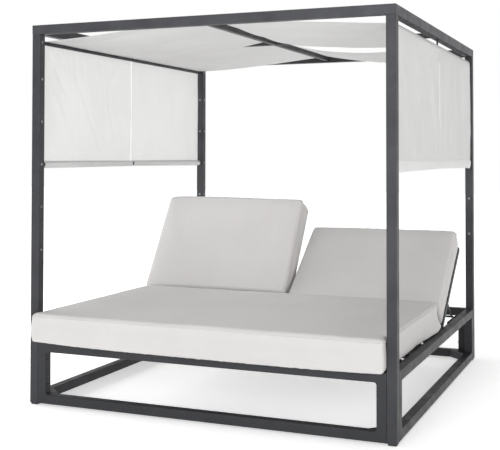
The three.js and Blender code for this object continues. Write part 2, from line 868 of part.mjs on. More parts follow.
function rackPlateGeometry() {
  const flatFoot = footPlace(0);
  const profile = new THREE.Shape();
  profile.moveTo(steepFoot - rackMargin, 0);
  profile.lineTo(flatFoot + rackMargin, 0);
  profile.lineTo(flatFoot + rackMargin, rackHeight);
  const notchCount = Math.floor((flatFoot - steepFoot) / notchPitch) + 1;
  for (let notch = notchCount - 1; notch >= 0; notch -= 1) {
    const centre = steepFoot + notch * notchPitch;
    profile.lineTo(centre + rackNotchWidth / 2, rackHeight);
    profile.lineTo(centre + rackNotchWidth / 4, rackHeight - rackNotchDepth);
    profile.lineTo(centre - rackNotchWidth / 4, rackHeight - rackNotchDepth);
    profile.lineTo(centre - rackNotchWidth / 2, rackHeight);
  }
  profile.lineTo(steepFoot - rackMargin, rackHeight);
  profile.closePath();
  return new THREE.ExtrudeGeometry(profile, { depth: rackThickness, bevelEnabled: false })
    .rotateX(Math.PI / 2)
    .rotateZ(Math.PI / 2)
    .translate(0, 0, rackLow);
}

function rackGeometry(plateX, flangeX) {
  const flange = [plateX, plateX + rackThickness, flangeX].sort((a, b) => a - b);
  return joined([
    rackPlateGeometry().translate(plateX, 0, 0),
    boxBetween(
      [flange[0], steepFoot - rackMargin, rackLow],
      [flange[2], footPlace(0) + rackMargin, rackLow + rackThickness],
    ),
  ]);
}

const outerRack = rackGeometry(outerRackX, innerHalf - seam);
const innerRack = rackGeometry(innerRackX, supportBeamWidth / 2 + seam);

addPiece('right_outer_rack', outerRack, aluminium);
addPiece('right_inner_rack', innerRack, aluminium);
addPiece('left_outer_rack', mirrored(outerRack), aluminium);
addPiece('left_inner_rack', mirrored(innerRack), aluminium);

// Curtain rods between the posts, and their hangers under the side beams

// A thin round tube along Y, open at its ends
function rodGeometry() {
  const length = rearInner - tubeSide - seam * 2;
  const bore = rodRadius - rodWall;
  const profile = [
    new THREE.Vector2(rodRadius, -length / 2),
    new THREE.Vector2(rodRadius, length / 2),
    new THREE.Vector2(bore, length / 2),
    new THREE.Vector2(bore, -length / 2),
    new THREE.Vector2(rodRadius, -length / 2),
  ];
  return new THREE.LatheGeometry(profile, roundSides);
}

for (const [sideName, side] of [['left', -1], ['right', 1]]) {
  for (const [levelName, z] of [['top', topRodHeight], ['bottom', bottomRodHeight]]) {
    addPiece(`${sideName}_${levelName}_rod`, rodGeometry().translate(side * postX, middleY, z), aluminium);
  }
}

function hangerGeometry(side) {
  const low = topRodHeight + rodRadius + seam;
  const high = topFrameBottom - seam;
  return cylinderAlong('z', hangerRadius, high - low, smallSides)
    .translate(side * postX, middleY, (low + high) / 2);
}

addPiece('left_rod_hanger', hangerGeometry(-1), aluminium);
addPiece('right_rod_hanger', hangerGeometry(1), aluminium);

// Canopy cloth. Each strip starts in a hem round one bottom rod, hangs outside the rods up to the
// top rod, sags to the roof bar, and comes down the same way on the other side.

const clothReach = rodRadius + clothGap + clothThickness / 2;
const barEdgeX = roofBarSide / 2 + clothThickness;
const barTopZ = beamHeight + roofBarSide / 2 + seam + clothThickness / 2;
const rodTopZ = topRodHeight + clothReach;

// The path of the right half in X and Z, from the hem to the bar: fold is how freely the cloth
// folds there, drop how far it sags, and inward how far it has gone from the rod to the bar.
function halfPath() {
  const path = [];
  const add = (x, z, more = {}) => path.push({ x, z, fold: 0, roofFold: 0, drop: 0, inward: 0, ...more });
  const seamX = postX + clothReach - clothThickness - clothGap;
  add(seamX, bottomRodHeight + hemHeight);
  const wrapStart = Math.PI * hemStartShare;
  for (let step = 0; step <= wrapSteps; step += 1) {
    const angle = wrapStart + ((Math.PI * 2 - wrapStart) * step) / wrapSteps;
    add(postX + clothReach * Math.cos(angle), bottomRodHeight + clothReach * Math.sin(angle));
  }
  for (let row = 1; row < curtainRows; row += 1) {
    const share = row / curtainRows;
    const z = bottomRodHeight + (topRodHeight - bottomRodHeight) * share;
    add(postX + clothReach, z, { fold: Math.sin(Math.PI * share) });
  }
  for (let step = 0; step <= rodQuarterSteps; step += 1) {
    const angle = (Math.PI * step) / (2 * rodQuarterSteps);
    add(postX + clothReach * Math.cos(angle), topRodHeight + clothReach * Math.sin(angle));
  }
  for (let row = 1; row <= roofRows; row += 1) {
    const inward = row / roofRows;
    const sag = 4 * inward * (1 - inward);
    add(
      postX + (barEdgeX - postX) * inward,
      rodTopZ + (barTopZ - rodTopZ) * inward,
      { drop: sag, roofFold: sag, inward },
    );
  }
  return path;
}

function fullPath() {
  const right = halfPath().map((point) => ({ ...point, side: 1 }));
  const left = halfPath().map((point) => ({ ...point, x: -point.x, side: -1 })).reverse();
  return [...right, ...left];
}

function outwardNormal(path, index) {
  const before = path[Math.max(index - 1, 0)];
  const after = path[Math.min(index + 1, path.length - 1)];
  const length = Math.hypot(after.x - before.x, after.z - before.z);
  return { x: (after.z - before.z) / length, z: (before.x - after.x) / length };
}

// Strip edges in Y: outer by the end posts, inner by the hangers, clear of the cross bar at the roof
function stripEdges(end, inward) {
  const outerCurtain = end < 0 ? tubeSide + clothPostGap : rearInner - clothHeadGap;
  const outerRoof = end < 0 ? tubeSide + clothBeamGap : rearInner - clothBeamGap;
  const innerCurtain = middleY + end * (hangerRadius + clothEdgeGap);
  const innerRoof = middleY + end * (roofBarSide / 2 + clothEdgeGap);
  const near = inward > 0 ? 1 - (1 - inward) * (1 - inward) : 0;
  return {
    outer: outerCurtain + (outerRoof - outerCurtain) * near,
    inner: innerCurtain + (innerRoof - innerCurtain) * near,
  };
}

function clothPoint(path, index, column, end, sags) {
  const point = path[index];
  const normal = outwardNormal(path, index);
  const across = column / clothColumns;
  const edges = stripEdges(end, point.inward);
  const phase = point.side * sidePhase + end * endPhase;
  const curtain = curtainFold * point.fold * Math.sin(Math.PI * 2 * foldCount * across + phase);
  const ripple = roofFold * point.roofFold * Math.sin(Math.PI * 2 * roofFoldCount * across + phase);
  const sag = sags.outer + (sags.inner - sags.outer) * across + sags.middle * Math.sin(Math.PI * across);
  const shift = curtain + ripple;
  return {
    x: point.x + normal.x * shift,
    y: edges.outer + (edges.inner - edges.outer) * across,
    z: point.z + normal.z * shift - sag * point.drop,
    normal,
  };
}

function clothGeometry(end, sags) {
  const path = fullPath();
  const rows = path.length;
  const columns = clothColumns + 1;
  const positions = [];
  for (const face of [1, -1]) {
    for (let row = 0; row < rows; row += 1) {
      for (let column = 0; column < columns; column += 1) {
        const spot = clothPoint(path, row, column, end, sags);
        const offset = (face * clothThickness) / 2;
        positions.push(spot.x + spot.normal.x * offset, spot.y, spot.z + spot.normal.z * offset);
      }
    }
  }
  const at = (face, row, column) => (face * rows + row) * columns + column;
  const lastRow = rows - 1;
  const lastColumn = columns - 1;
  const quads = [];
  for (let row = 0; row < lastRow; row += 1) {
    const next = row + 1;
    for (let column = 0; column < lastColumn; column += 1) {
      const other = column + 1;
      quads.push([at(0, row, column), at(0, row, other), at(0, next, other), at(0, next, column)]);
      quads.push([at(1, row, column), at(1, next, column), at(1, next, other), at(1, row, other)]);
    }
    quads.push([at(0, row, 0), at(0, next, 0), at(1, next, 0), at(1, row, 0)]);
    const rim = [at(0, row, lastColumn), at(1, row, lastColumn)];
    quads.push([...rim, at(1, next, lastColumn), at(0, next, lastColumn)]);
  }
  for (let column = 0; column < lastColumn; column += 1) {
    const other = column + 1;
    quads.push([at(0, 0, column), at(1, 0, column), at(1, 0, other), at(0, 0, other)]);
    const rim = [at(0, lastRow, column), at(0, lastRow, other)];
    quads.push([...rim, at(1, lastRow, other), at(1, lastRow, column)]);
  }
  const turned = end < 0 ? quads : quads.map((quad) => [...quad].reverse());
  const geometry = new THREE.BufferGeometry();
  geometry.setAttribute('position', new THREE.Float32BufferAttribute(positions, 3));
  geometry.setIndex(turned.flatMap(([a, b, c, d]) => [a, b, c, a, c, d]));
  geometry.computeVertexNormals();
  return geometry;
}

addPiece('front_canopy_cloth', clothGeometry(-1, frontStripSags), canopyCloth);
addPiece('rear_canopy_cloth', clothGeometry(1, rearStripSags), canopyCloth);

export default daybed;
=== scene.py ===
"""Outdoor daybed with a canopy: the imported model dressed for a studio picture."""

import math

import bmesh
import bpy
from mathutils import Matrix, Vector, noise


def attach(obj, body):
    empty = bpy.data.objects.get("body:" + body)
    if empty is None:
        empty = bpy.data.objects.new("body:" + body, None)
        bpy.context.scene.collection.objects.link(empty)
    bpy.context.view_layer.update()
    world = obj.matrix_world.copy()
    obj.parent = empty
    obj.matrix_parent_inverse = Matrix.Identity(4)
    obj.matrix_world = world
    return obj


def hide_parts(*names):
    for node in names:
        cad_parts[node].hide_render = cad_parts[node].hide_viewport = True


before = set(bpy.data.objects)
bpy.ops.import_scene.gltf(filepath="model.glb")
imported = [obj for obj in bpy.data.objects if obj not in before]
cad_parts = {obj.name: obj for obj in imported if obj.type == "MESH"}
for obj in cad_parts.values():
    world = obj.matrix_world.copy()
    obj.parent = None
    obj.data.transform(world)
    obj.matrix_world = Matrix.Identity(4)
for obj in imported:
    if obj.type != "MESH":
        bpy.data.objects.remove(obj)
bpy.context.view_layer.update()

# Sizes in metres, in the model's frame: X to the right, Y to the head end, Z up
HALF_W = 0.985
DEPTH = 2.066
HEIGHT = 2.0
FRONT = -1.008
REAR = FRONT + DEPTH
MID_Y = FRONT + DEPTH / 2
TUBE = 0.048
TUBE_R = 0.003
SEAM = 0.0003
GLIDE = 0.010
BASE_TOP = 0.327
POST_X = HALF_W - TUBE / 2
INNER_X = HALF_W - TUBE
BEAM_LOW = HEIGHT - TUBE
ROOF_BAR = 0.028
ROD_R = 0.009
TOP_ROD = 1.910
LOW_ROD = 1.262
CROSSBEAM_TOP = 0.317
PIVOT = Vector((0, FRONT + 1.285, CROSSBEAM_TOP))
STAY = 0.280
BACK_ANGLES = {"left": 57.5, "right": 37.0}
CORNERS = [(-1, -1), (1, -1), (1, 1), (-1, 1)]
SIDES = (("left", -1), ("right", 1))

ALUMINIUM_SLOT = "powder_coated_aluminium"
STEEL_SLOT = "bare_steel"
PLASTIC_SLOT = "black_plastic"


# Materials


class Look:
    """A node material with a Principled shader, and short ways to add nodes to it."""

    def __init__(self, name, rough, **values):
        self.material = bpy.data.materials.new(name)
        self.material.use_nodes = True
        self.tree = self.material.node_tree
        self.shader = self.tree.nodes["Principled BSDF"]
        self.output = self.tree.nodes["Material Output"]
        self.shader.inputs["Roughness"].default_value = rough
        for key, value in values.items():
            self.shader.inputs[key.replace("_", " ")].default_value = value
        self.coords = self.tree.nodes.new("ShaderNodeTexCoord")

    def plug(self, value, socket):
        """Links a socket to an input, or sets the input to a plain value."""
        if isinstance(value, bpy.types.NodeSocket):
            self.tree.links.new(value, socket)
        else:
            socket.default_value = value

    def node(self, kind, inputs, **settings):
        made = self.tree.nodes.new(kind)
        for key, value in settings.items():
            setattr(made, key, value)
        for key, value in inputs.items():
            self.plug(value, made.inputs[key])
        return made

    def math(self, operation, a, b=0.0):
        return self.node("ShaderNodeMath", {0: a, 1: b}, operation=operation).outputs[0]

    def stretched(self, scale):
        """Object coordinates, each axis times its own scale."""
        inputs = {"Vector": self.coords.outputs["Object"], "Scale": scale}
        return self.node("ShaderNodeMapping", inputs).outputs[0]

    def noise(self, scale, detail=2.0, vector=None, rough=0.5):
        inputs = {
            "Vector": vector or self.coords.outputs["Object"],
            "Scale": scale,
            "Detail": detail,
            "Roughness": rough,
        }
        return self.node("ShaderNodeTexNoise", inputs).outputs["Fac"]

    def ramp(self, value, low, high, to_low=0.0, to_high=1.0):
        inputs = {"Value": value, 1: low, 2: high, 3: to_low, 4: to_high}
        return self.node("ShaderNodeMapRange", inputs).outputs["Result"]

    def mix(self, factor, a, b):
        """A colour between two others, each of them a socket or three numbers."""
        made = self.node("ShaderNodeMix", {0: factor}, data_type="RGBA")
        sockets = [s for s in made.inputs if s.type == "RGBA"]
        for socket, value in zip(sockets, (a, b)):
            self.plug((*value, 1) if isinstance(value, tuple) else value, socket)
        return [s for s in made.outputs if s.type == "RGBA"][0]

    def bump(self, height, strength, distance):
        inputs = {"Height": height, "Strength": strength, "Distance": distance}
        return self.node("ShaderNodeBump", inputs).outputs[0]

    def set(self, socket, value):
        self.tree.links.new(value, self.shader.inputs[socket])


def times(colour, factor):
    return tuple(c * factor for c in colour)


def powder_coat(name, dark, light, rough):
    """Fine-textured paint: an orange-peel grain, a little dust, and lighter edges that are partly
    rubbed wear and partly a painted highlight.
    """
    look = Look(name, rough, Specular_IOR_Level=0.25)
    cloud = look.noise(5.0, detail=4.0)
    base = look.mix(look.ramp(cloud, 0.35, 0.7), dark, light)
    dust = look.ramp(look.noise(900.0), 0.55, 0.75, 0.0, 0.35)
    base = look.mix(dust, base, times(light, 1.7))
    # The edges are painted lighter: partly rubbed wear, partly a painted highlight along the
    # rounded corners.
    point = look.tree.nodes.new("ShaderNodeNewGeometry").outputs["Pointiness"]
    patchy = look.ramp(cloud, 0.3, 0.65, 0.1, 0.5)
    rubbed_and_highlit_edges = look.math("MULTIPLY", look.ramp(point, 0.52, 0.6), patchy)
    look.set("Base Color", look.mix(rubbed_and_highlit_edges, base, times(light, 2.4)))
    smears = look.noise(14.0, detail=3.0)
    look.set("Roughness", look.ramp(smears, 0.3, 0.7, rough - 0.06, rough + 0.08))
    look.set("Normal", look.bump(look.noise(1400.0), 0.12, 0.0002))
    return look.material


def bare_metal(name, colour, rough):
    """Bright metal with fine drawn lines along X and small changes in gloss."""
    look = Look(name, rough, Metallic=1.0)
    lines = look.noise(1.0, 3.0, look.stretched((8.0, 900.0, 900.0)))
    look.set("Base Color", look.mix(look.ramp(lines, 0.3, 0.7), times(colour, 0.82), colour))
    smears = look.noise(40.0)
    look.set("Roughness", look.ramp(smears, 0.3, 0.7, rough - 0.08, rough + 0.1))
    look.set("Normal", look.bump(lines, 0.1, 0.0002))
    return look.material


def moulded_plastic(name, colour, rough):
    """Dark moulded plastic with a fine spark-eroded grain."""
    look = Look(name, rough)
    grain = look.noise(1800.0)
    mottle = look.ramp(look.noise(30.0), 0.3, 0.7)
    look.set("Base Color", look.mix(mottle, colour, times(colour, 1.5)))
    look.set("Normal", look.bump(grain, 0.2, 0.0002))
    return look.material


def weave(look, pitch):
    """Height of a plain weave, laid on each side of the piece by the way that it faces."""
    place = look.node("ShaderNodeSeparateXYZ", {0: look.coords.outputs["Object"]}).outputs
    faces = look.node("ShaderNodeSeparateXYZ", {0: look.coords.outputs["Normal"]}).outputs
    turns = math.pi / pitch
    waves = [look.math("SINE", look.math("MULTIPLY", axis, turns)) for axis in place]
    total = None
    for axis in range(3):
        a, b = (waves[i] for i in range(3) if i != axis)
        share = look.math("MULTIPLY", faces[axis], faces[axis])
        part = look.math("MULTIPLY", look.math("MULTIPLY", a, b), share)
        total = part if total is None else look.math("ADD", total, part)
    return total


def cloth(name, colour, shade, pitch, through=0.0, slub=(30.0, 900.0, 900.0), **values):
    """Woven cloth: threads with painted shade between them, slubs, a soft mottle and, where it is
    thin, light from behind.
    """
    look = Look(name, 0.92, **values)
    threads = weave(look, pitch)
    slubs = look.noise(1.0, vector=look.stretched(slub))
    mottle = look.noise(2.6, detail=5.0, rough=0.6)
    base = look.mix(look.ramp(mottle, 0.3, 0.7), shade, colour)
    base = look.mix(look.ramp(slubs, 0.45, 0.75, 0.0, 0.35), base, times(shade, 0.86))
    # Painted shade: the cloth is darker where the weave is low, between the threads.
    base = look.mix(look.ramp(threads, -0.6, 0.2, 0.22, 0.0), base, times(shade, 0.7))
    look.set("Base Color", base)
    thread_rise, slub_rise = look.math("MULTIPLY", threads, 0.5), look.math("MULTIPLY", slubs, 0.8)
    normal = look.bump(look.math("ADD", thread_rise, slub_rise), 0.35, 0.0004)
    look.set("Normal", normal)
    look.set("Roughness", look.ramp(mottle, 0.3, 0.7, 0.86, 0.97))
    if through:
        thin = look.node("ShaderNodeBsdfTranslucent", {"Color": base, "Normal": normal})
        shares = {0: through, 1: look.shader.outputs[0], 2: thin.outputs[0]}
        both = look.node("ShaderNodeMixShader", shares)
        look.tree.links.new(both.outputs[0], look.output.inputs["Surface"])
    return look.material


COAT = powder_coat(
    "anthracite_powder_coat", (0.024, 0.0245, 0.028), (0.0305, 0.031, 0.0345), 0.48
)
ZINC = bare_metal("dull_zinc", (0.40, 0.40, 0.41), 0.5)
PLASTIC = moulded_plastic("black_plastic", (0.016, 0.016, 0.018), 0.5)
FABRIC = cloth(
    "cushion_fabric", (0.600, 0.583, 0.575), (0.560, 0.543, 0.535), 0.0011,
    Sheen_Weight=0.15, Sheen_Roughness=0.5,
)
CANOPY = cloth(
    "canopy_cloth", (0.845, 0.845, 0.842), (0.81, 0.81, 0.807), 0.0008, through=0.6,
    slub=(900.0, 25.0, 900.0),
)
# The hem is the canopy cloth painted darker, with less light through: a copy of it in painted
# shade.
HEM = cloth(
    "canopy_hem_shaded_cloth", (0.74, 0.74, 0.737), (0.71, 0.71, 0.707), 0.0008, through=0.1,
    slub=(900.0, 25.0, 900.0),
)
THREAD = cloth("sewing_thread", (0.78, 0.775, 0.76), (0.70, 0.695, 0.68), 0.0004)


# Mesh building

# How far the ends of tubes and the rims of plates are eased
LIP = 0.0006


class Shape:
    """A mesh that is put together from lofts, lathes and slabs, and then becomes one piece."""

    def __init__(self):
        self.bm = bmesh.new()

    def rings(self, rings, closed=False):
        """Faces between rings of points, and flat ends unless the rings close on themselves."""
        made = [[self.bm.verts.new(p) for p in ring] for ring in rings]
        count = len(made[0])
        for i in range(len(made) if closed else len(made) - 1):
            a, b = made[i], made[(i + 1) % len(made)]
            for k in range(count):
                n = (k + 1) % count
                self.bm.faces.new((a[k], a[n], b[n], b[k]))
        if not closed:
            self.bm.faces.new(list(reversed(made[0])))
            self.bm.faces.new(made[-1])
        return self

    def tube(self, start, along, up, length, width, height, radius=TUBE_R, cuts=None, lip=LIP):
        """A bar with a rounded section. Cuts say how far its ends move at a place u across."""
        along, up = Vector(along).normalized(), Vector(up).normalized()
        side = along.cross(up)
        full = section(width, height, radius)
        small = section(width - 2 * lip, height - 2 * lip, max(radius - lip, 0.0002))
        if cuts:
            plan = [(0.0, full, cuts[0]), (length, full, cuts[1])]
        else:
            plan = [(0.0, small, None), (lip, full, None)]
            plan += [(length - lip, full, None), (length, small, None)]
        rings = []
        for t, points, cut in plan:
            rings.append([
                Vector(start) + along * (t + (cut(u) if cut else 0.0)) + side * u + up * v
                for u, v in points
            ])
        return self.rings(rings)

    def lathe(self, profile, matrix, sides=32, slot=0):
        """Turns (radius, height) points round local Z; the end radii may be zero."""
        turn = [2 * math.pi * k / sides for k in range(sides)]
        rings = []
        for radius, height in profile:
            spots = [Vector((radius * math.cos(a), radius * math.sin(a), height)) for a in turn]
            if radius == 0:
                spots = spots[:1]
            rings.append([self.bm.verts.new(matrix @ spot) for spot in spots])
        for a, b in zip(rings, rings[1:]):
            for k in range(sides):
                n = (k + 1) % sides
                if len(a) == 1:
                    face = (a[0], b[n], b[k])
                elif len(b) == 1:
                    face = (a[k], a[n], b[0])
                else:
                    face = (a[k], a[n], b[n], b[k])
                self.bm.faces.new(face).material_index = slot
        return self

    def slab(self, outline, thickness, matrix, lip=LIP):
        """A flat plate: an outline in local X-Y, its thickness up local Z and its rims eased."""
        middle = sum((Vector(p) for p in outline), Vector((0, 0))) / len(outline)
        rings = []
        for z, drawn in ((0.0, lip), (lip, 0.0), (thickness - lip, 0.0), (thickness, lip)):
            ring = []
            for p in outline:
                q = Vector(p) - (Vector(p) - middle).normalized() * drawn
                ring.append(matrix @ Vector((q.x, q.y, z)))
            rings.append(ring)
        return self.rings(rings)

    def done(self, name, materials, body, replaces=(), matrix=None, slot=None, angle=32):
        bmesh.ops.recalc_face_normals(self.bm, faces=self.bm.faces)
        mesh = bpy.data.meshes.new(name)
        self.bm.to_mesh(mesh)
        self.bm.free()
        for polygon in mesh.polygons:
            polygon.use_smooth = True
        mesh.set_sharp_from_angle(angle=math.radians(angle))
        return place(name, mesh, materials, body, replaces, matrix, slot)

    def painted(self, node):
        """The finished bar that takes the place of a node of the frame."""
        self.done(node + "_tube", COAT, "frame", [node], slot=ALUMINIUM_SLOT)


def place(name, mesh, materials, body, replaces=(), matrix=None, slot=None):
    piece = bpy.data.objects.new(name, mesh)
    bpy.context.scene.collection.objects.link(piece)
    for material in materials if isinstance(materials, (list, tuple)) else [materials]:
        mesh.materials.append(material)
    if matrix:
        piece.matrix_world = matrix
    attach(piece, body)
    if replaces:
        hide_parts(*replaces)
    return piece


def section(width, height, radius, arc=4, hold=0.0016):
    """Points round a rectangle with round corners, and a point on each flat near its ends."""
    points = []
    for sx, sy, start in ((1, 1, 0), (-1, 1, 90), (-1, -1, 180), (1, -1, 270)):
        cx, cy = sx * (width / 2 - radius), sy * (height / 2 - radius)
        turns = [math.radians(start + 90 * i / arc) for i in range(arc + 1)]
        on_arc = [(cx + radius * math.cos(a), cy + radius * math.sin(a)) for a in turns]
        (x0, y0), (x1, y1), first, last = on_arc[0], on_arc[-1], turns[0], turns[-1]
        before = (x0 + hold * math.sin(first), y0 - hold * math.cos(first))
        after = (x1 - hold * math.sin(last), y1 + hold * math.cos(last))
        points += [before, *on_arc, after]
    return points


def facing(point, direction):
    """A matrix at a point whose local Z runs in that direction."""
    turn = Vector(direction).to_track_quat("Z", "Y").to_matrix().to_4x4()
    return Matrix.Translation(point) @ turn


def upright(x, y=0.0, z=0.0):
    """A matrix at a point whose local X, Y and Z run along the model's Y, Z and X."""
    return Matrix(((0, 0, 1, x), (1, 0, 0, y), (0, 1, 0, z), (0, 0, 0, 1)))


# Frame: posts, feet, top frame and roof bars

# Widths of a foot at its heights, from the floor up
FOOT_RINGS = [
    (0.032, 0.0), (0.038, 0.0005), (0.041, 0.003), (0.042, 0.006), (0.042, GLIDE - SEAM),
]
FOOT_R = 0.005
INSERTS = [0.810, 1.036, 1.262, 1.488, 1.714]
HOLE_R, HOLE_DEPTH = 0.0031, 0.0002
INSERT_FLANGE = [
    (HOLE_R, HOLE_DEPTH), (0.0034, 0.0012), (0.0058, 0.0012), (0.0065, 0.0006),
    (0.0065, -0.0005),
]


def corner_name(side, end):
    return ("front" if end < 0 else "rear") + "_" + ("left" if side < 0 else "right")


def corner_place(side, end):
    return side * POST_X, (FRONT + TUBE / 2 if end < 0 else REAR - TUBE / 2)


def make_posts():
    for side, end in CORNERS:
        x, y = corner_place(side, end)
        name = corner_name(side, end)
        length = BEAM_LOW - SEAM - GLIDE
        post = Shape().tube((x, y, GLIDE), (0, 0, 1), (0, 1, 0), length, TUBE, TUBE)
        post.painted(name + "_post")
        glide = Shape().rings([
            [Vector((x + u, y + v, z)) for u, v in section(width, width, FOOT_R, hold=0.0008)]
            for width, z in FOOT_RINGS
        ])
        glide.done(
            name + "_foot", PLASTIC, "frame", [name + "_foot_glide"], slot=PLASTIC_SLOT
        )


def make_inserts():
    """Flanged threaded inserts in the inner faces of the posts, each hole closed by a black disc
    as painted shade.
    """
    shape = Shape()
    for side, end in CORNERS:
        x, y = corner_place(side, end)
        faces = [(z, (x - side * TUBE / 2, y), (-side, 0, 0)) for z in [*INSERTS, TOP_ROD]]
        faces += [
            (z, (x, y - end * TUBE / 2), (0, -end, 0)) for z in INSERTS if z != LOW_ROD
        ]
        for z, (px, py), direction in faces:
            matrix = facing(Vector((px, py, z)), direction)
            shape.lathe(INSERT_FLANGE, matrix, 20)
            # A black disc just inside each flange: painted shade for the deep hole.
            shape.lathe([(0, HOLE_DEPTH), (HOLE_R, HOLE_DEPTH)], matrix, 20, slot=1)
    shape.done("threaded_inserts", [ZINC, PLASTIC], "frame", slot=STEEL_SLOT)


def make_top_frame():
    half = TUBE / 2
    z = BEAM_LOW + half

    def mitre(u):
        """How far a beam's end is cut back; u runs from its axis to the inside."""
        return half + u + SEAM

    beams = {
        "front_top_beam": ((-HALF_W, FRONT + half, z), (1, 0, 0), 2 * HALF_W),
        "rear_top_beam": ((HALF_W, REAR - half, z), (-1, 0, 0), 2 * HALF_W),
        "left_top_beam": ((-HALF_W + half, REAR, z), (0, -1, 0), DEPTH),
        "right_top_beam": ((HALF_W - half, FRONT, z), (0, 1, 0), DEPTH),
    }
    for name, (start, along, length) in beams.items():
        cuts = (mitre, lambda u: -mitre(u))
        beam = Shape().tube(start, along, (0, 0, -1), length, TUBE, TUBE, cuts=cuts)
        beam.painted(name)

    slim = ROOF_BAR / 2
    front_run = MID_Y - slim - FRONT - TUBE - 2 * SEAM
    rear_run = REAR - TUBE - MID_Y - slim - 2 * SEAM
    bars = {
        "cross_roof_bar": ((-INNER_X + SEAM, MID_Y, z), (1, 0, 0), 2 * (INNER_X - SEAM)),
        "front_roof_bar": ((0, FRONT + TUBE + SEAM, z), (0, 1, 0), front_run),
        "rear_roof_bar": ((0, MID_Y + slim + SEAM, z), (0, 1, 0), rear_run),
    }
    for name, (start, along, length) in bars.items():
        bar = Shape().tube(start, along, (0, 0, 1), length, ROOF_BAR, ROOF_BAR, 0.0022)
        bar.painted(name)


# Base loops with their bolts

LOOP_R = 0.012
LOOP_STEPS = 6
BOLT_HEIGHTS = (0.105, 0.237)
BOLT_CAP = [
    (0.0082, 0), (0.0082, 0.0012), (0.0076, 0.0034), (0.0055, 0.0047), (0.0026, 0.005),
    (0.0022, 0.0042), (0, 0.0042),
]


def loop_rings(width, height, matrix):
    """Rings of a square tube round a rectangle: rounded inside its corners, square outside."""
    points = section(TUBE, TUBE, TUBE_R)
    rings = []
    for sx, sy, start in ((1, -1, 270), (1, 1, 0), (-1, 1, 90), (-1, -1, 180)):
        cx = sx * (width / 2 - TUBE - LOOP_R)
        cy = height / 2 + sy * (height / 2 - TUBE - LOOP_R)
        for step in range(LOOP_STEPS + 1):
            a = math.radians(start + 90 * step / LOOP_STEPS)
            c, s = math.cos(a), math.sin(a)
            stretch = 1 / max(abs(c), abs(s))
            ring = []
            for u, v in points:
                depth = u + TUBE / 2
                share = depth / TUBE
                reach = (LOOP_R + depth) * ((1 - share) + share * stretch)
                ring.append(matrix @ Vector((cx + c * reach, cy + s * reach, v)))
            rings.append(ring)
    return rings


def make_loops():
    stand = Matrix.Rotation(math.radians(90), 4, "X")
    turn = Matrix.Rotation(math.radians(90), 4, "Z")
    across, along = 2 * (INNER_X - SEAM), DEPTH - 2 * TUBE - 2 * SEAM
    plan = {
        "front_base_loop": (across, (0, FRONT + TUBE / 2), stand),
        "rear_base_loop": (across, (0, REAR - TUBE / 2), stand),
        "left_base_loop": (along, (-POST_X, MID_Y), turn @ stand),
        "right_base_loop": (along, (POST_X, MID_Y), turn @ stand),
    }
    for name, (width, (x, y), pose) in plan.items():
        matrix = Matrix.Translation((x, y, GLIDE)) @ pose
        loop = Shape().rings(loop_rings(width, BASE_TOP - GLIDE, matrix), closed=True)
        loop.painted(name)
    caps = Shape()
    reach = TUBE / 2 + SEAM + TUBE
    for side, end in CORNERS:
        x, y = corner_place(side, end)
        for z in BOLT_HEIGHTS:
            caps.lathe(BOLT_CAP, facing(Vector((x - side * reach, y, z)), (-side, 0, 0)), 24)
            caps.lathe(BOLT_CAP, facing(Vector((x, y - end * reach, z)), (0, -end, 0)), 24)
    caps.done("bolt_caps", PLASTIC, "frame", slot=PLASTIC_SLOT)


# Platform: crossbeam with its ears, the beams under it and the parts that keep their solids

EAR_XS = [0.045, 0.906]
EAR = 0.005
EAR_R = 0.014
EAR_LIP = 0.0003
CROSSBEAM_REAR = PIVOT.y - 0.045
CROSSBEAM_FRONT = CROSSBEAM_REAR - TUBE
BEAM_W = 0.040
# Start, end, top and height of the two middle beams
MIDDLE_BEAMS = {
    "seat_support_beam": (FRONT + TUBE + SEAM, CROSSBEAM_FRONT - SEAM, 0.3177, 0.045),
    "back_support_beam": (CROSSBEAM_REAR + SEAM, REAR - TUBE - SEAM, 0.292, 0.040),
}
KEPT_ENDS = ("_ledge", "_rack", "_gusset")
WELD = 0.00002
GUSSET_BEVEL, PLATE_BEVEL = 0.002, 0.0007
BEVEL_ANGLE = 35


def make_platform():
    start = (-INNER_X + SEAM, CROSSBEAM_FRONT + TUBE / 2, CROSSBEAM_TOP - TUBE / 2)
    length = 2 * (INNER_X - SEAM)
    shape = Shape().tube(start, (1, 0, 0), (0, 0, 1), length, TUBE, TUBE)
    root = CROSSBEAM_REAR - PIVOT.y - 0.001
    turns = [math.radians(-90 + 180 * i / 16) for i in range(17)]
    nose = [(EAR_R * math.cos(a), EAR_R * math.sin(a)) for a in turns]
    outline = [(root, -EAR_R), *nose, (0, 0), (root, 0)]
    for x in [s * v - (EAR if s < 0 else 0) for v in EAR_XS for s in (1, -1)]:
        shape.slab(outline, EAR, upright(x, PIVOT.y, PIVOT.z), lip=EAR_LIP)
    shape.painted("hinge_crossbeam")
    for name, (y0, y1, top, high) in MIDDLE_BEAMS.items():
        start = (0, y0, top - high / 2)
        beam = Shape().tube(start, (0, 1, 0), (0, 0, 1), y1 - y0, BEAM_W, high)
        beam.painted(name)

    for name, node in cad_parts.items():
        if not (name.startswith("seat_slat") or name.endswith(KEPT_ENDS)):
            continue
        node.data.materials.clear()
        node.data.materials.append(COAT)
        node.modifiers.new("weld", "WELD").merge_threshold = WELD
        bevel = node.modifiers.new("bevel", "BEVEL")
        bevel.width = GUSSET_BEVEL if name.endswith("_gusset") else PLATE_BEVEL
        bevel.segments = 3
        bevel.limit_method = "ANGLE"
        bevel.angle_limit = math.radians(BEVEL_ANGLE)
        bevel.harden_normals = True


# Backrests and stays, from the pivot up and from the middle outwards

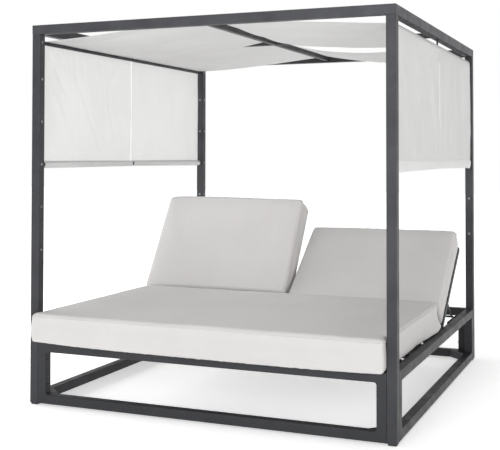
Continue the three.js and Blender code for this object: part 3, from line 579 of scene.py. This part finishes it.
SIDE_BAR_XS = (0.033, 0.923)
SIDE_BAR_START, SIDE_BAR_LENGTH = -0.014, 0.694
BAR_W, BAR_H, BAR_R = 0.020, 0.030, 0.0022
CROSS_BAR_YS = (0.032, 0.670)
CROSS_BAR_H = 0.0294
INNER_SPAN = (0.0425, 0.9135)
RUNG_START, RUNG_PITCH, RUNG_COUNT = 0.095, 0.113, 5
RUNG_W, RUNG_T, RUNG_R, RUNG_Z = 0.060, 0.004, 0.0012, 0.012
STUD_XS = ((0.043, 1), (0.913, -1))
STUD = [
    (0.005, -0.001), (0.005, 0.0163), (0.008, 0.0163), (0.008, 0.0185), (0.0068, 0.0193),
    (0, 0.0193),
]
LEG_XS = (0.053, 0.897)
LEG_T, LEG_R = 0.006, 0.008
FOOT_ROD_SPAN = (0.0445, 0.9115)
FOOT_ROD_R, FOOT_ROD_EDGE = 0.006, 0.0008
PIN = [
    (0, -0.003), (0.0068, -0.003), (0.008, -0.0022), (0.008, 0), (0.005, 0), (0.005, 0.025),
    (0, 0.025),
]
TURNED_SIDES = 28


def back_matrix(side):
    turn = Matrix.Rotation(math.radians(BACK_ANGLES[side]), 4, "X")
    return Matrix.Translation(PIVOT) @ turn


def mirror_x(sign, x0, x1):
    return (x0, x1) if sign > 0 else (-x1, -x0)


def make_backrest(side, sign):
    matrix = back_matrix(side)
    bars = Shape()
    for x in SIDE_BAR_XS:
        start = (sign * x, SIDE_BAR_START, 0)
        bars.tube(start, (0, 1, 0), (0, 0, 1), SIDE_BAR_LENGTH, BAR_W, BAR_H, BAR_R)
    x0, x1 = mirror_x(sign, *INNER_SPAN)
    for y in CROSS_BAR_YS:
        start = (x0, y, 0)
        bars.tube(start, (1, 0, 0), (0, 0, 1), x1 - x0, BAR_W, CROSS_BAR_H, BAR_R, lip=0.0)
    for i in range(RUNG_COUNT):
        start = (x0, RUNG_START + i * RUNG_PITCH + RUNG_W / 2, RUNG_Z)
        bars.tube(start, (1, 0, 0), (0, 0, 1), x1 - x0, RUNG_W, RUNG_T, RUNG_R, lip=0.0)
    for x, way in STUD_XS:
        start = Vector((sign * x, STAY, 0))
        bars.lathe(STUD, facing(start, (sign * way, 0, 0)), TURNED_SIDES)
    bars.done(
        side + "_back_frame_tubes", COAT, side + "_backrest", [side + "_back_frame"], matrix,
        ALUMINIUM_SLOT,
    )

    stay = Shape()
    ends = [math.radians(90 + 180 * i / 14) for i in range(15)]
    outline = [(LEG_R * math.cos(a), LEG_R * math.sin(a)) for a in ends]
    outline += [(STAY - p[0], -p[1]) for p in outline]
    for x in LEG_XS:
        stay.slab(outline, LEG_T, upright(mirror_x(sign, x, x + LEG_T)[0]))
    r0, r1 = mirror_x(sign, *FOOT_ROD_SPAN)
    run, eased = r1 - r0, FOOT_ROD_R - FOOT_ROD_EDGE
    rod = [
        (0, 0), (eased, 0), (FOOT_ROD_R, FOOT_ROD_EDGE), (FOOT_ROD_R, run - FOOT_ROD_EDGE),
        (eased, run), (0, run),
    ]
    stay.lathe(rod, facing(Vector((r0, STAY, 0)), (1, 0, 0)), TURNED_SIDES)
    swing = Matrix.Rotation(math.radians(-2 * BACK_ANGLES[side]), 4, "X")
    stay.done(
        side + "_stay_bars", COAT, side + "_stay", [side + "_stay"],
        matrix @ Matrix.Translation((0, STAY, 0)) @ swing, STEEL_SLOT,
    )

    for kind, x, way in (
        ("inner", EAR_XS[0] + EAR + SEAM, -1), ("outer", EAR_XS[1] - SEAM, 1),
    ):
        start = Vector((sign * x, PIVOT.y, PIVOT.z))
        pin = Shape().lathe(PIN, facing(start, (sign * way, 0, 0)), TURNED_SIDES)
        name = f"{side}_{kind}_hinge_pin"
        pin.done(name + "_turned", ZINC, "frame", [name], slot=STEEL_SLOT)


# Cushions

# Where the edge of a cover turns from its face to its side, in degrees
RIM_TURNS = (45, 33, 22, 11, 0)
BLOW_FRAMES = 20
BLOW_PRESSURE = 4.0
WELT_R, WELT_SINK, WELT_SIDES = 0.0026, 0.0002, 8
# The covers start this much thinner than the foam, and swell
COVER_SLACK = 0.004
SEAT_SIZE = (2 * 0.935, 1.235, 0.148)
SEAT_OVERHANG = 0.050
SEAT_BOTTOM = 0.3325
BACK_LENGTH, BACK_THICK = 0.661, 0.148
BACK_BED = 0.0154
BACK_LIFT = 0.001
CUSHION_RISES = {"left": 0.088, "right": 0.008}
# Nearest and furthest reach of each back cushion from the middle
BACK_SPANS = {"left": (0.004, 0.961), "right": (0.002, 0.942)}


def smooth(value):
    value = min(max(value, 0.0), 1.0)
    return value * value * (3 - 2 * value)


def ripple(point, scale, seed):
    return noise.noise(Vector(point) * scale + Vector((seed, seed * 1.7, seed * 0.6)))


def stations(length, radius, step):
    """Places along one side of a cushion, closer together where its edges turn."""
    half = length / 2
    rim = [half - radius + radius * math.tan(math.radians(a)) for a in RIM_TURNS]
    flat = length - 2 * radius
    count = max(2, round(flat / step))
    inner = [-(half - radius) + flat * i / count for i in range(1, count)]
    return [-v for v in rim] + inner + rim[::-1]


def cushion_mesh(size, radius, step):
    """A closed grid over a box with round edges, and the indices of its two seams."""
    lists = [stations(s, radius, step) for s in size]
    counts = [len(v) - 1 for v in lists]
    bm = bmesh.new()
    seen = {}

    def vertex(i, j, k):
        if (i, j, k) not in seen:
            spot = [lists[n][m] for n, m in enumerate((i, j, k))]
            core = [min(max(v, radius - s / 2), s / 2 - radius) for v, s in zip(spot, size)]
            away = Vector([a - b for a, b in zip(spot, core)])
            seen[(i, j, k)] = bm.verts.new(Vector(core) + away.normalized() * radius)
        return seen[(i, j, k)]

    for axis in range(3):
        a, b = [n for n in range(3) if n != axis]
        for end in (0, counts[axis]):
            for i in range(counts[a]):
                for j in range(counts[b]):
                    quad = []
                    for di, dj in ((0, 0), (1, 0), (1, 1), (0, 1)):
                        index = [0, 0, 0]
                        index[axis], index[a], index[b] = end, i + di, j + dj
                        quad.append(vertex(*index))
                    bm.faces.new(quad)
    bmesh.ops.recalc_face_normals(bm, faces=bm.faces)
    bm.verts.index_update()
    nx, ny, nz = counts
    loops = []
    for k in (0, nz - (len(RIM_TURNS) - 1)):
        ring = [(i, 0, k) for i in range(nx)] + [(nx, j, k) for j in range(ny)]
        ring += [(i, ny, k) for i in range(nx, 0, -1)] + [(0, j, k) for j in range(ny, 0, -1)]
        loops.append([seen[key].index for key in ring])
    mesh = bpy.data.meshes.new("cushion")
    bm.to_mesh(mesh)
    bm.free()
    return mesh, loops


def swell(piece, reach):
    """Blows the cover up as cloth; no point moves further than the reach above or below."""
    cloth_mod = piece.modifiers.new("cover", "CLOTH")
    settings = cloth_mod.settings
    settings.quality = 4
    settings.mass = 0.25
    settings.tension_stiffness = settings.compression_stiffness = 18
    settings.shear_stiffness = 12
    settings.bending_stiffness = 0.6
    settings.use_pressure = True
    settings.uniform_pressure_force = BLOW_PRESSURE
    settings.effector_weights.gravity = 0
    cloth_mod.collision_settings.use_collision = False
    cloth_mod.point_cache.frame_start = 1
    cloth_mod.point_cache.frame_end = BLOW_FRAMES
    scene = bpy.context.scene
    for number in range(1, BLOW_FRAMES + 1):
        scene.frame_set(number)
    graph = bpy.context.evaluated_depsgraph_get()
    moved = [v.co.copy() for v in piece.evaluated_get(graph).data.vertices]
    piece.modifiers.remove(cloth_mod)
    scene.frame_set(1)
    for vertex, there in zip(piece.data.vertices, moved):
        home = vertex.co.copy()
        away = there - home
        limit = reach[0] if home.z > 0 else reach[1]
        if away.length > 1e-9:
            away *= limit * math.tanh(away.length / limit) / away.length
        vertex.co = home + away


def cushion(node, body, matrix, size, radius, step, reach, shape):
    """One cushion: a foam block in a sewn cover, blown up as cloth, shaped and finished."""
    width, length, thick = size
    mesh, loops = cushion_mesh((width, length, thick - COVER_SLACK), radius, step)
    piece = place(node + "_cover", mesh, FABRIC, body, [node], matrix, "cushion_fabric")
    swell(piece, reach)
    for vertex in mesh.vertices:
        vertex.co = shape(vertex.co)
    for polygon in mesh.polygons:
        polygon.use_smooth = True
    mesh.update()
    finer = piece.modifiers.new("finer", "SUBSURF")
    finer.levels = finer.render_levels = 1
    for level, loop in zip(("lower", "upper"), loops):
        points = [mesh.vertices[i].co.copy() for i in loop]
        normals = [mesh.vertices[i].normal.copy() for i in loop]
        welt(f"{node}_cover_{level}_seam", points, normals, body, matrix)


def welt(name, points, normals, body, matrix):
    """The sewn edge between two panels: a thin roll that stands a little proud."""
    rings = []
    turns = [2 * math.pi * k / WELT_SIDES for k in range(WELT_SIDES)]
    for i, (point, normal) in enumerate(zip(points, normals)):
        along = (points[(i + 1) % len(points)] - points[i - 1]).normalized()
        side = along.cross(normal).normalized()
        centre = point - normal * WELT_SINK
        rings.append([
            centre + normal * (WELT_R * math.cos(a)) + side * (WELT_R * math.sin(a))
            for a in turns
        ])
    shape = Shape().rings(rings, closed=True)
    shape.done(name, FABRIC, body, matrix=matrix, slot="cushion_fabric", angle=80)


def puckers(co, half, seed, depth=0.0028, spread=0.035):
    """Small gathers that run across the seams and die out away from them."""
    near_x, near_y = half[0] - abs(co.x), half[1] - abs(co.y)
    to_side, to_face = min(near_x, near_y), half[2] - abs(co.z)
    near = math.exp(-((max(to_side, 0) / spread) ** 2))
    near *= math.exp(-((max(to_face, 0) / spread) ** 2))
    along = co.y if near_x < near_y else co.x
    coarse = noise.noise(Vector((along * 34, seed, 0)))
    fine = noise.noise(Vector((along * 80, seed + 9, 0)))
    outward = Vector((co.x / half[0], co.y / half[1], co.z / half[2])).normalized()
    return outward * (depth * near * (coarse + 0.6 * fine))


def rounded_end(co, half, radius):
    """Turns the two square corners at the head end into round ones, seen from above."""
    dx, dy = abs(co.x) - (half[0] - radius), co.y - (half[1] - radius)
    if dx <= 0 or dy <= 0:
        return co.copy()
    share = max(dx, dy) / math.hypot(dx, dy)
    x = math.copysign(half[0] - radius + dx * share, co.x)
    return Vector((x, half[1] - radius + dy * share, co.z))


def seat_shape(co, half, centre_y):
    """Crowned on top, drawn in below at the head end, and held between the front posts."""
    co = rounded_end(co, half, radius=0.055)
    across, along = co.x / half[0], co.y / half[1]
    lift = co.z / (2 * half[2]) + 0.5
    low = 1 - lift
    out = co.copy()
    out.z += lift * (0.007 + 0.005 * (1 - across**4) * (1 - along**4))
    out.z += 0.0022 * ripple(co, 4.0, 3.1) * lift

    # The lower front edge sags between its corners, which stay up
    corner_rise = 0.013 if across < 0 else 0.010
    out.z += smooth((-along - 0.80) / 0.2) * low * (corner_rise * across**4 - 0.007)
    out.z -= (0.008 + 0.004 * across) * smooth((-along - 0.92) / 0.08) * low

    # The cover bulges past the inner faces of the posts, except where it passes between them
    y = co.y + centre_y
    squeeze = smooth(1 - abs(y - (FRONT + TUBE / 2)) / 0.05)
    rim = smooth((abs(across) - 0.9) / 0.1)
    proud = 0.008
    if y < FRONT:
        proud = 0.024 if across < 0 else 0.001
    bulge = proud * (1 - squeeze) * rim * (1 - (2 * lift - 1) ** 2 * 0.5)
    drawn = 0.036 * rim * low**2 * smooth((along + 0.2) / 1.2)
    out.x += math.copysign(bulge - drawn, co.x)

    # The lower rear edge is drawn forward, and its corners turn up
    heel = smooth((along - 0.78) / 0.22) * low**2
    out.y -= 0.012 * heel
    out.z += 0.026 * heel * rim
    if squeeze > 0.35:
        limit = INNER_X - 0.0006
        out.x = min(max(out.x, -limit), limit)
    return out + puckers(co, half, seed=5.0)


def back_shape(co, half, sign):
    """Crowned in front, fuller at the top and drawn in at the lower outer edge."""
    across, along = co.x / half[0], co.y / half[1]
    lift = co.z / (2 * half[2]) + 0.5
    out = co.copy()
    out.z += lift * (0.004 + 0.010 * (1 - across**4) * (1 - along**4))
    full = 0.012 if sign > 0 else 0.018 - 0.010 * smooth((across + 0.4) / 1.2)
    out.y += full * smooth((along - 0.9) / 0.1) * (1 - across**8)
    drawn = 0.012 if sign > 0 else 0.026
    out.x -= sign * drawn * smooth((sign * across - 0.88) / 0.12) * (1 - lift) ** 2
    out.z += 0.003 * ripple(co, 5.0, 7.0 + sign) * lift
    # A dent where the lower end rests against the seat cushion
    out.y += 0.003 * smooth((-along - 0.9) / 0.1) * (1 - across**2)
    return out + puckers(co, half, seed=2.0 + sign)


def make_cushions():
    half = tuple(v / 2 for v in SEAT_SIZE)
    matrix = Matrix.Translation((0, half[1] - SEAT_OVERHANG + FRONT, SEAT_BOTTOM + half[2]))
    cushion(
        "seat_cushion", "frame", matrix, SEAT_SIZE, 0.018, 0.017, (0.0045, 0.0015),
        lambda co: seat_shape(co, half, matrix.translation.y),
    )
    for side, sign in SIDES:
        near_x, far_x = BACK_SPANS[side]
        size = (far_x - near_x, BACK_LENGTH, BACK_THICK)
        back_half = tuple(v / 2 for v in size)
        x, y = sign * (near_x + far_x) / 2, CUSHION_RISES[side] + back_half[1]
        centre = Matrix.Translation((x, y, BACK_BED + back_half[2] + BACK_LIFT))
        node = side + "_back_cushion"
        cushion(
            node, node, back_matrix(side) @ centre, size, 0.020, 0.013, (0.006, 0.0008),
            lambda co: back_shape(co, back_half, sign),
        )


# Canopy cloths, curtain rods and hangers

CLOTH = 0.0015
THIN_CLOTH = 0.0007
REACH = ROD_R + 0.0008 + CLOTH / 2
# The inner layer of a hem lies this far inside the outer one
HEM_INSET = CLOTH + 0.0008
SEAM_Z = LOW_ROD + 0.017
# Nominal width of a strip and height of a curtain, for folds and stitches
STRIP_W, CURTAIN_H = 0.95, 0.66
POCKET_STEPS, CURTAIN_ROWS, TURN_STEPS, ROOF_ROWS, BAR_STEPS = 18, 90, 8, 70, 3
COLUMNS = 110
ROD_LOW_R, ROD_EDGE = 0.0085, 0.0015
HANGER_R, HANGER_HEAD_R, HANGER_HEAD = 0.005, 0.0085, 0.004
STITCH_PITCH, STITCH_SHARE, STITCH_R, STITCH_PROUD = 0.0045, 0.62, 0.0004, 0.0006

# The keys of SAGS, STEEP and SLACK are (end, side), and those of FOLDS are (side, end)
# How far each strip sags at its outer edge, at its inner edge and more in between
SAGS = {
    (-1, -1): (0.006, 0.029, 0.018), (-1, 1): (0.009, 0.034, 0.014),
    (1, -1): (0.014, 0.025, 0.010), (1, 1): (0.024, 0.059, 0.008),
}
# How steeply each strip drops beside its rod and beside the roof bar
STEEP = {(-1, -1): (2.0, 2.0), (-1, 1): (1.3, 7.0), (1, -1): (2.0, 2.0), (1, 1): (2.0, 2.5)}
# Half the slit between the curtains, by side
HALF_SLIT = {-1: 0.010, 1: 0.0016}
# How far each hem pocket hangs below its rod at the outer and the inner edge
SLACK = {
    (-1, -1): (0.010, 0.005), (1, -1): (0.008, 0.004),
    (-1, 1): (0.020, 0.012), (1, 1): (0.016, 0.011),
}
# How deep the folds are on each side, as a multiple of what FOLDS says
FOLD_DEPTH = {-1: 1.8, 1: 2.8}
# Soft folds: across and height at both ends as shares, then width and depth
FOLDS = {
    (-1, -1): [
        (0.05, 0.95, 0.33, 0.50, 0.035, 0.005), (0.10, 0.60, 0.34, 0.14, 0.030, -0.005),
        (0.34, 0.80, 0.56, 0.28, 0.032, 0.004), (0.22, 0.38, 0.40, 0.03, 0.026, 0.004),
        (0.46, 0.40, 0.62, 0.04, 0.028, -0.004), (0.72, 0.62, 0.84, 0.16, 0.030, 0.004),
        (0.85, 0.95, 0.70, 0.60, 0.030, 0.003),
    ],
    (-1, 1): [
        (0.86, 0.92, 0.76, 0.30, 0.030, 0.005), (0.62, 0.75, 0.64, 0.04, 0.028, -0.005),
        (0.44, 0.92, 0.42, 0.20, 0.030, 0.004), (0.24, 0.55, 0.18, 0.04, 0.026, 0.004),
    ],
    (1, -1): [
        (0.36, 0.95, 0.50, 0.34, 0.030, 0.008), (0.48, 0.55, 0.62, 0.06, 0.026, -0.008),
        (0.12, 0.75, 0.20, 0.05, 0.028, 0.005), (0.74, 0.80, 0.93, 0.08, 0.026, 0.008),
        (0.60, 0.95, 0.76, 0.50, 0.026, -0.005), (0.30, 0.42, 0.36, 0.03, 0.024, 0.006),
    ],
    (1, 1): [
        (0.84, 0.92, 0.82, 0.15, 0.028, 0.006), (0.55, 0.85, 0.52, 0.08, 0.028, -0.006),
        (0.28, 0.92, 0.22, 0.25, 0.030, 0.005), (0.68, 0.45, 0.66, 0.03, 0.024, 0.005),
    ],
}


def between(low, high, share):
    return low + (high - low) * share


def cloth_path():
    """The right half's path from hem to roof bar: x, z, height share, share of the roof."""
    path = [(POST_X + REACH - HEM_INSET, SEAM_Z, 0.0, 0.0)]

    def wrap(z, start, turn, steps, height):
        for step in range(steps + 1):
            a = math.pi * (start + turn * step / steps)
            path.append((POST_X + REACH * math.cos(a), z + REACH * math.sin(a), height, 0.0))

    wrap(LOW_ROD, 0.75, 1.25, POCKET_STEPS, 0.0)
    for row in range(1, CURTAIN_ROWS):
        share = row / CURTAIN_ROWS
        path.append((POST_X + REACH, between(LOW_ROD, TOP_ROD, share), share, 0.0))
    wrap(TOP_ROD, 0.0, 0.5, TURN_STEPS, 1.0)
    bar_x = ROOF_BAR / 2 + CLOTH
    bar_z = HEIGHT - TUBE / 2 + ROOF_BAR / 2 + SEAM + CLOTH / 2
    for row in range(1, ROOF_ROWS + 1):
        share = row / ROOF_ROWS
        x, z = between(POST_X, bar_x, share), between(TOP_ROD + REACH, bar_z, share)
        path.append((x, z, 1.0, share))
    for row in range(1, BAR_STEPS + 1):
        path.append((bar_x * (1 - row / BAR_STEPS), bar_z, 1.0, 1.0))
    return path


def fold(share, height, side, end):
    """How far the folds of a curtain move a point of it outwards."""
    total = 0.0
    for a0, h0, a1, h1, width, depth in FOLDS[(side, end)]:
        start = Vector((a0 * STRIP_W, h0 * CURTAIN_H))
        run = Vector(((a1 - a0) * STRIP_W, (h1 - h0) * CURTAIN_H))
        point = Vector((share * STRIP_W, height * CURTAIN_H)) - start
        t = point.dot(run) / run.length_squared
        near = (point - run * min(max(t, 0.0), 1.0)).length
        crest = math.hypot(near, 0.003) / (0.8 * width)
        ends = smooth(1.2 - abs(t - 0.5) * 1.6)
        total += FOLD_DEPTH[side] * depth * math.exp(-(crest**1.5)) * ends
    return total


def curtain_shift(z, height, share, side, end, phase, outer_layer):
    """How far a point of a curtain or its hem pocket stands out of the curtain's plane."""
    gather = noise.noise(Vector((share * 60, side * 3.0, end * 5.0)))
    if z < SEAM_Z:
        # The pocket's rear right corner stands out a little
        flare = smooth((0.10 - share) / 0.10) if (side, end) == (1, 1) and outer_layer else 0.0
        return 0.0012 * (gather + 1) + 0.004 * flare
    hold = smooth(height / 0.12) * smooth((1 - height) / 0.12)
    shift = 0.0044 * math.sin(math.pi * height) * math.sin(4 * math.pi * share + phase)
    shift += fold(share, height, side, end) * hold
    spot = (share * STRIP_W, height * CURTAIN_H, side)
    shift += 0.0016 * ripple(spot, 9.0, end + 4.0) * hold
    lean = share + 0.10 * height
    coarse = noise.noise(Vector((lean * 24, height * 1.6 + 5 * side, end * 5.0)))
    fine = noise.noise(Vector((lean * 55, height * 2.5 + 5 * side, end * 3.0)))
    shift += (0.0016 * coarse + 0.0008 * fine) * hold
    return shift + 0.0016 * gather * smooth((0.16 - height) / 0.14) * smooth(height / 0.01)


def roof_shift(inward, share, side, end, phase, sag):
    """Small waves of the roof: pulls that start at the rod, and a soft unevenness."""
    pull = (1 - inward) ** 2 * smooth(inward / 0.04)
    gathers = noise.noise(Vector((share * 22, side * 2.0, end * 3.0 + inward * 1.5)))
    drift = Vector((share * 15 + 2 * inward, side * 4.0, inward * 1.2 + end))
    spot = (share * STRIP_W * 3, inward * 0.94, side)
    shift = 0.004 * sag * math.sin(6 * math.pi * share + phase + 2.0 * inward)
    shift += 0.005 * pull * gathers + 0.003 * sag * noise.noise(drift)
    return shift + 0.002 * sag * ripple(spot, 3.0, end + 1.0)


def strip_point(spot, normal, side, share, end):
    """A point of a strip, from its spot on the path and its share from outer to inner edge."""
    x, z, height, inward = spot
    outer_curtain = FRONT + TUBE + 0.028 if end < 0 else REAR - TUBE - 0.017
    outer_roof = FRONT + TUBE + 0.007 if end < 0 else REAR - TUBE - 0.008
    near = 1 - (1 - inward) ** 2 if inward > 0 else 0.0
    slit = between(HALF_SLIT[side], ROOF_BAR / 2 + 0.005, near)
    inner, outer = MID_Y + end * slit, between(outer_curtain, outer_roof, near)
    phase = side * 0.8 + end * 0.5

    steep = STEEP[(end, side)][0 if inward < 0.5 else 1]
    sag = 1 - abs(2 * inward - 1) ** steep
    low, high, middle = SAGS[(end, side)]
    drop = (between(low, high, share) + middle * math.sin(math.pi * share)) * sag
    if inward > 0:
        shift = roof_shift(inward, share, side, end, phase, sag)
    else:
        shift = curtain_shift(z, height, share, side, end, phase, normal[0] > 0)

    # Below its rod the pocket hangs down with flat sides
    below = max(0.0, (LOW_ROD - z) / REACH)
    if below > 0:
        z -= between(*SLACK[(end, side)], share) * below**2
        if x > POST_X:
            x = POST_X + REACH * ((x - POST_X) / REACH) ** 0.35
        else:
            x += 0.6 * REACH * smooth((below - 0.75) / 0.25)
    across = side * (x + normal[0] * shift)
    return Vector((across, between(outer, inner, share), z + normal[1] * shift - drop))


def make_stitches(name, end):
    """Rows of short stitches along the seams of the hems, on both faces of the cloth."""
    shape = Shape()
    height = (SEAM_Z - LOW_ROD) / (TOP_ROD - LOW_ROD)
    spot = (POST_X + REACH, SEAM_Z, height, 0.0)
    turns = [math.pi * k / 3 for k in range(6)]
    circle = [Vector((STITCH_R * math.cos(a), 0, STITCH_R * math.sin(a))) for a in turns]
    for side in (-1, 1):
        for proud in (STITCH_PROUD, -STITCH_PROUD - HEM_INSET):
            for i in range(3, int(STRIP_W / STITCH_PITCH) - 3):
                rings = []
                for t in (0.0, STITCH_SHARE):
                    share = (i + t) * STITCH_PITCH / STRIP_W
                    point = strip_point(spot, (1.0, 0.0), side, share, end)
                    centre = point + Vector((side * proud, 0, 0))
                    rings.append([centre + p for p in circle])
                shape.rings(rings)
    return shape.done(name, THREAD, "frame", slot="canopy_fabric", angle=80)


def make_strip(name, node, end):
    path = cloth_path()
    half_rows = []
    for i, spot in enumerate(path):
        before, after = path[max(i - 1, 0)], path[min(i + 1, len(path) - 1)]
        dx, dz = after[0] - before[0], after[1] - before[1]
        size = math.hypot(dx, dz)
        half_rows.append((spot, (dz / size, -dx / size)))
    rows = [(spot, normal, 1) for spot, normal in half_rows]
    rows += [(spot, normal, -1) for spot, normal in half_rows[-2::-1]]
    points = [
        [strip_point(spot, normal, side, c / COLUMNS, end) for c in range(COLUMNS + 1)]
        for spot, normal, side in rows
    ]
    bm = bmesh.new()
    grid = [[bm.verts.new(p) for p in row] for row in points]
    for a, b, (spot, _, _) in zip(grid, grid[1:], rows):
        for c in range(COLUMNS):
            face = bm.faces.new((a[c], a[c + 1], b[c + 1], b[c]))
            # Faces below the hem's seam take the hem cloth, which is painted shade.
            face.material_index = 1 if spot[1] < SEAM_Z + 0.001 else 0
    bmesh.ops.recalc_face_normals(bm, faces=bm.faces)
    mesh = bpy.data.meshes.new(name)
    bm.to_mesh(mesh)
    bm.free()
    for polygon in mesh.polygons:
        polygon.use_smooth = True
    piece = place(name, mesh, [CANOPY, HEM], "frame", [node], slot="canopy_fabric")
    solid = piece.modifiers.new("thickness", "SOLIDIFY")
    solid.thickness = THIN_CLOTH
    solid.offset = 0
    stitches = make_stitches(name + "_stitches", end)


def make_canopy():
    long = DEPTH - 2 * TUBE - 2 * SEAM
    rod_profile = [
        (0, 0), (ROD_LOW_R, 0), (ROD_R, ROD_EDGE), (ROD_R, long - ROD_EDGE),
        (ROD_LOW_R, long), (0, long),
    ]
    low, high = TOP_ROD + ROD_R + SEAM, BEAM_LOW - SEAM
    head = high - HANGER_HEAD
    hanger_profile = [
        (0, low), (HANGER_R, low), (HANGER_R, head), (HANGER_HEAD_R, head),
        (HANGER_HEAD_R, high), (0, high),
    ]
    for side, sign in SIDES:
        for level, z in (("top", TOP_ROD), ("bottom", LOW_ROD)):
            start = Vector((sign * POST_X, FRONT + TUBE + SEAM, z))
            rod = Shape().lathe(rod_profile, facing(start, (0, 1, 0)), 40)
            rod.painted(f"{side}_{level}_rod")
        centre = Matrix.Translation((sign * POST_X, MID_Y, 0))
        hanger = Shape().lathe(hanger_profile, centre, TURNED_SIDES)
        node = side + "_rod_hanger"
        hanger.done(node + "_turned", COAT, "frame", [node], slot=ALUMINIUM_SLOT)
    for part, end in (("front", -1), ("rear", 1)):
        make_strip(part + "_canopy_strip", part + "_canopy_cloth", end)


# Studio: floor, light and camera

FLOOR_HALF = 30.0
# The floor's own glow near the daybed and far away, and where it changes
FLOOR_GLOW, FAR_GLOW = 0.46, 1.0
GLOW_NEAR, GLOW_FAR = 2.0, 5.5
# The sky's glow at the horizon and overhead, and the heights between which it changes
WORLD_GLOW, ZENITH_GLOW = 1.0, 0.05
HORIZON, ZENITH = 0.26, 0.6
# Place, aim, size, watts and colour of each lamp
LAMPS = {
    "key_soft": ((0.6, -7.0, 2.2), (-0.1, 0, 0.9), (4.0, 1.8), 205, (0.97, 0.985, 1.0)),
    "left_soft": ((-4.5, 0.0, 1.5), (-0.98, 0, 1.5), (3.0, 1.0), 105, (1.0, 1.0, 1.0)),
    "right_soft": ((6.0, -1.0, 2.5), (0.98, 0, 1.2), (3.5, 3.0), 55, (1.0, 0.99, 0.97)),
    "top_soft": ((0.0, 0.0, 5.0), (0, 0, 0), (4.0, 4.0), 120, (1.0, 0.99, 0.975)),
}
# The camera that was solved from the photo, whose frame is 500 by 450 pixels
CAMERA_PLACE = (2.0465, -5.2931, 1.2982)
CAMERA_TURNS = (22.5342, -1.4568, 0.061)
FOCAL_PIXELS = 965.485
CENTRE_ROW = 133.09
IMAGE_W, IMAGE_H = 500, 450
SENSOR = 36


def make_floor():
    mesh = bpy.data.meshes.new("floor")
    corners = [(x * FLOOR_HALF, y * FLOOR_HALF, 0) for x, y in CORNERS]
    mesh.from_pydata(corners, [], [(0, 1, 2, 3)])
    floor = bpy.data.objects.new("floor", mesh)
    bpy.context.scene.collection.objects.link(floor)
    look = Look("pale_floor", 0.9)
    tone = look.ramp(look.noise(0.4), 0.3, 0.7, 0.93, 0.96)
    look.set("Base Color", tone)
    look.shader.inputs["Emission Color"].default_value = (1, 1, 1, 1)
    spot = {0: look.coords.outputs["Object"]}
    away = look.node("ShaderNodeVectorMath", spot, operation="LENGTH").outputs["Value"]
    glow = look.ramp(away, GLOW_NEAR, GLOW_FAR, FLOOR_GLOW, FAR_GLOW)
    look.set("Emission Strength", glow)
    mesh.materials.append(look.material)


def make_lights():
    world = bpy.data.worlds.new("studio")
    bpy.context.scene.world = world
    world.use_nodes = True
    nodes, links = world.node_tree.nodes, world.node_tree.links
    height = nodes.new("ShaderNodeSeparateXYZ")
    links.new(nodes.new("ShaderNodeTexCoord").outputs["Generated"], height.inputs[0])
    glow = nodes.new("ShaderNodeMapRange")
    for socket, value in zip(glow.inputs[1:5], (HORIZON, ZENITH, WORLD_GLOW, ZENITH_GLOW)):
        socket.default_value = value
    links.new(height.outputs["Z"], glow.inputs["Value"])
    nodes["Background"].inputs["Color"].default_value = (1, 1, 1, 1)
    links.new(glow.outputs["Result"], nodes["Background"].inputs["Strength"])
    for name, (position, target, size, power, colour) in LAMPS.items():
        light = bpy.data.lights.new(name, "AREA")
        light.shape = "RECTANGLE"
        light.size, light.size_y = size
        light.energy = power
        light.color = colour
        lamp = bpy.data.objects.new(name, light)
        bpy.context.scene.collection.objects.link(lamp)
        lamp.location = position
        lamp.rotation_mode = "QUATERNION"
        aim = Vector(target) - Vector(position)
        lamp.rotation_quaternion = aim.to_track_quat("-Z", "Y")


def make_camera():
    yaw, tilt, roll = (math.radians(v) for v in CAMERA_TURNS)
    right = Vector((math.cos(yaw), math.sin(yaw), 0))
    level = Vector((-math.sin(yaw), math.cos(yaw), 0))
    ahead = level * math.cos(tilt) + Vector((0, 0, -math.sin(tilt)))
    up = right.cross(ahead)
    c, s = math.cos(roll), math.sin(roll)
    right, up = right * c + up * s, up * c - right * s
    camera = bpy.data.objects.new("camera", bpy.data.cameras.new("camera"))
    bpy.context.scene.collection.objects.link(camera)
    turn = Matrix((right, up, -ahead)).transposed().to_4x4()
    camera.matrix_world = Matrix.Translation(CAMERA_PLACE) @ turn
    camera.data.sensor_width = SENSOR
    camera.data.lens = FOCAL_PIXELS * SENSOR / IMAGE_W
    camera.data.shift_y = (CENTRE_ROW - IMAGE_H / 2) / IMAGE_W
    bpy.context.scene.camera = camera
    bpy.context.scene.view_settings.view_transform = "Standard"


make_posts()
make_inserts()
make_top_frame()
make_loops()
make_platform()
for side_name, side_sign in SIDES:
    make_backrest(side_name, side_sign)
make_cushions()
make_canopy()
make_floor()
make_lights()
make_camera()
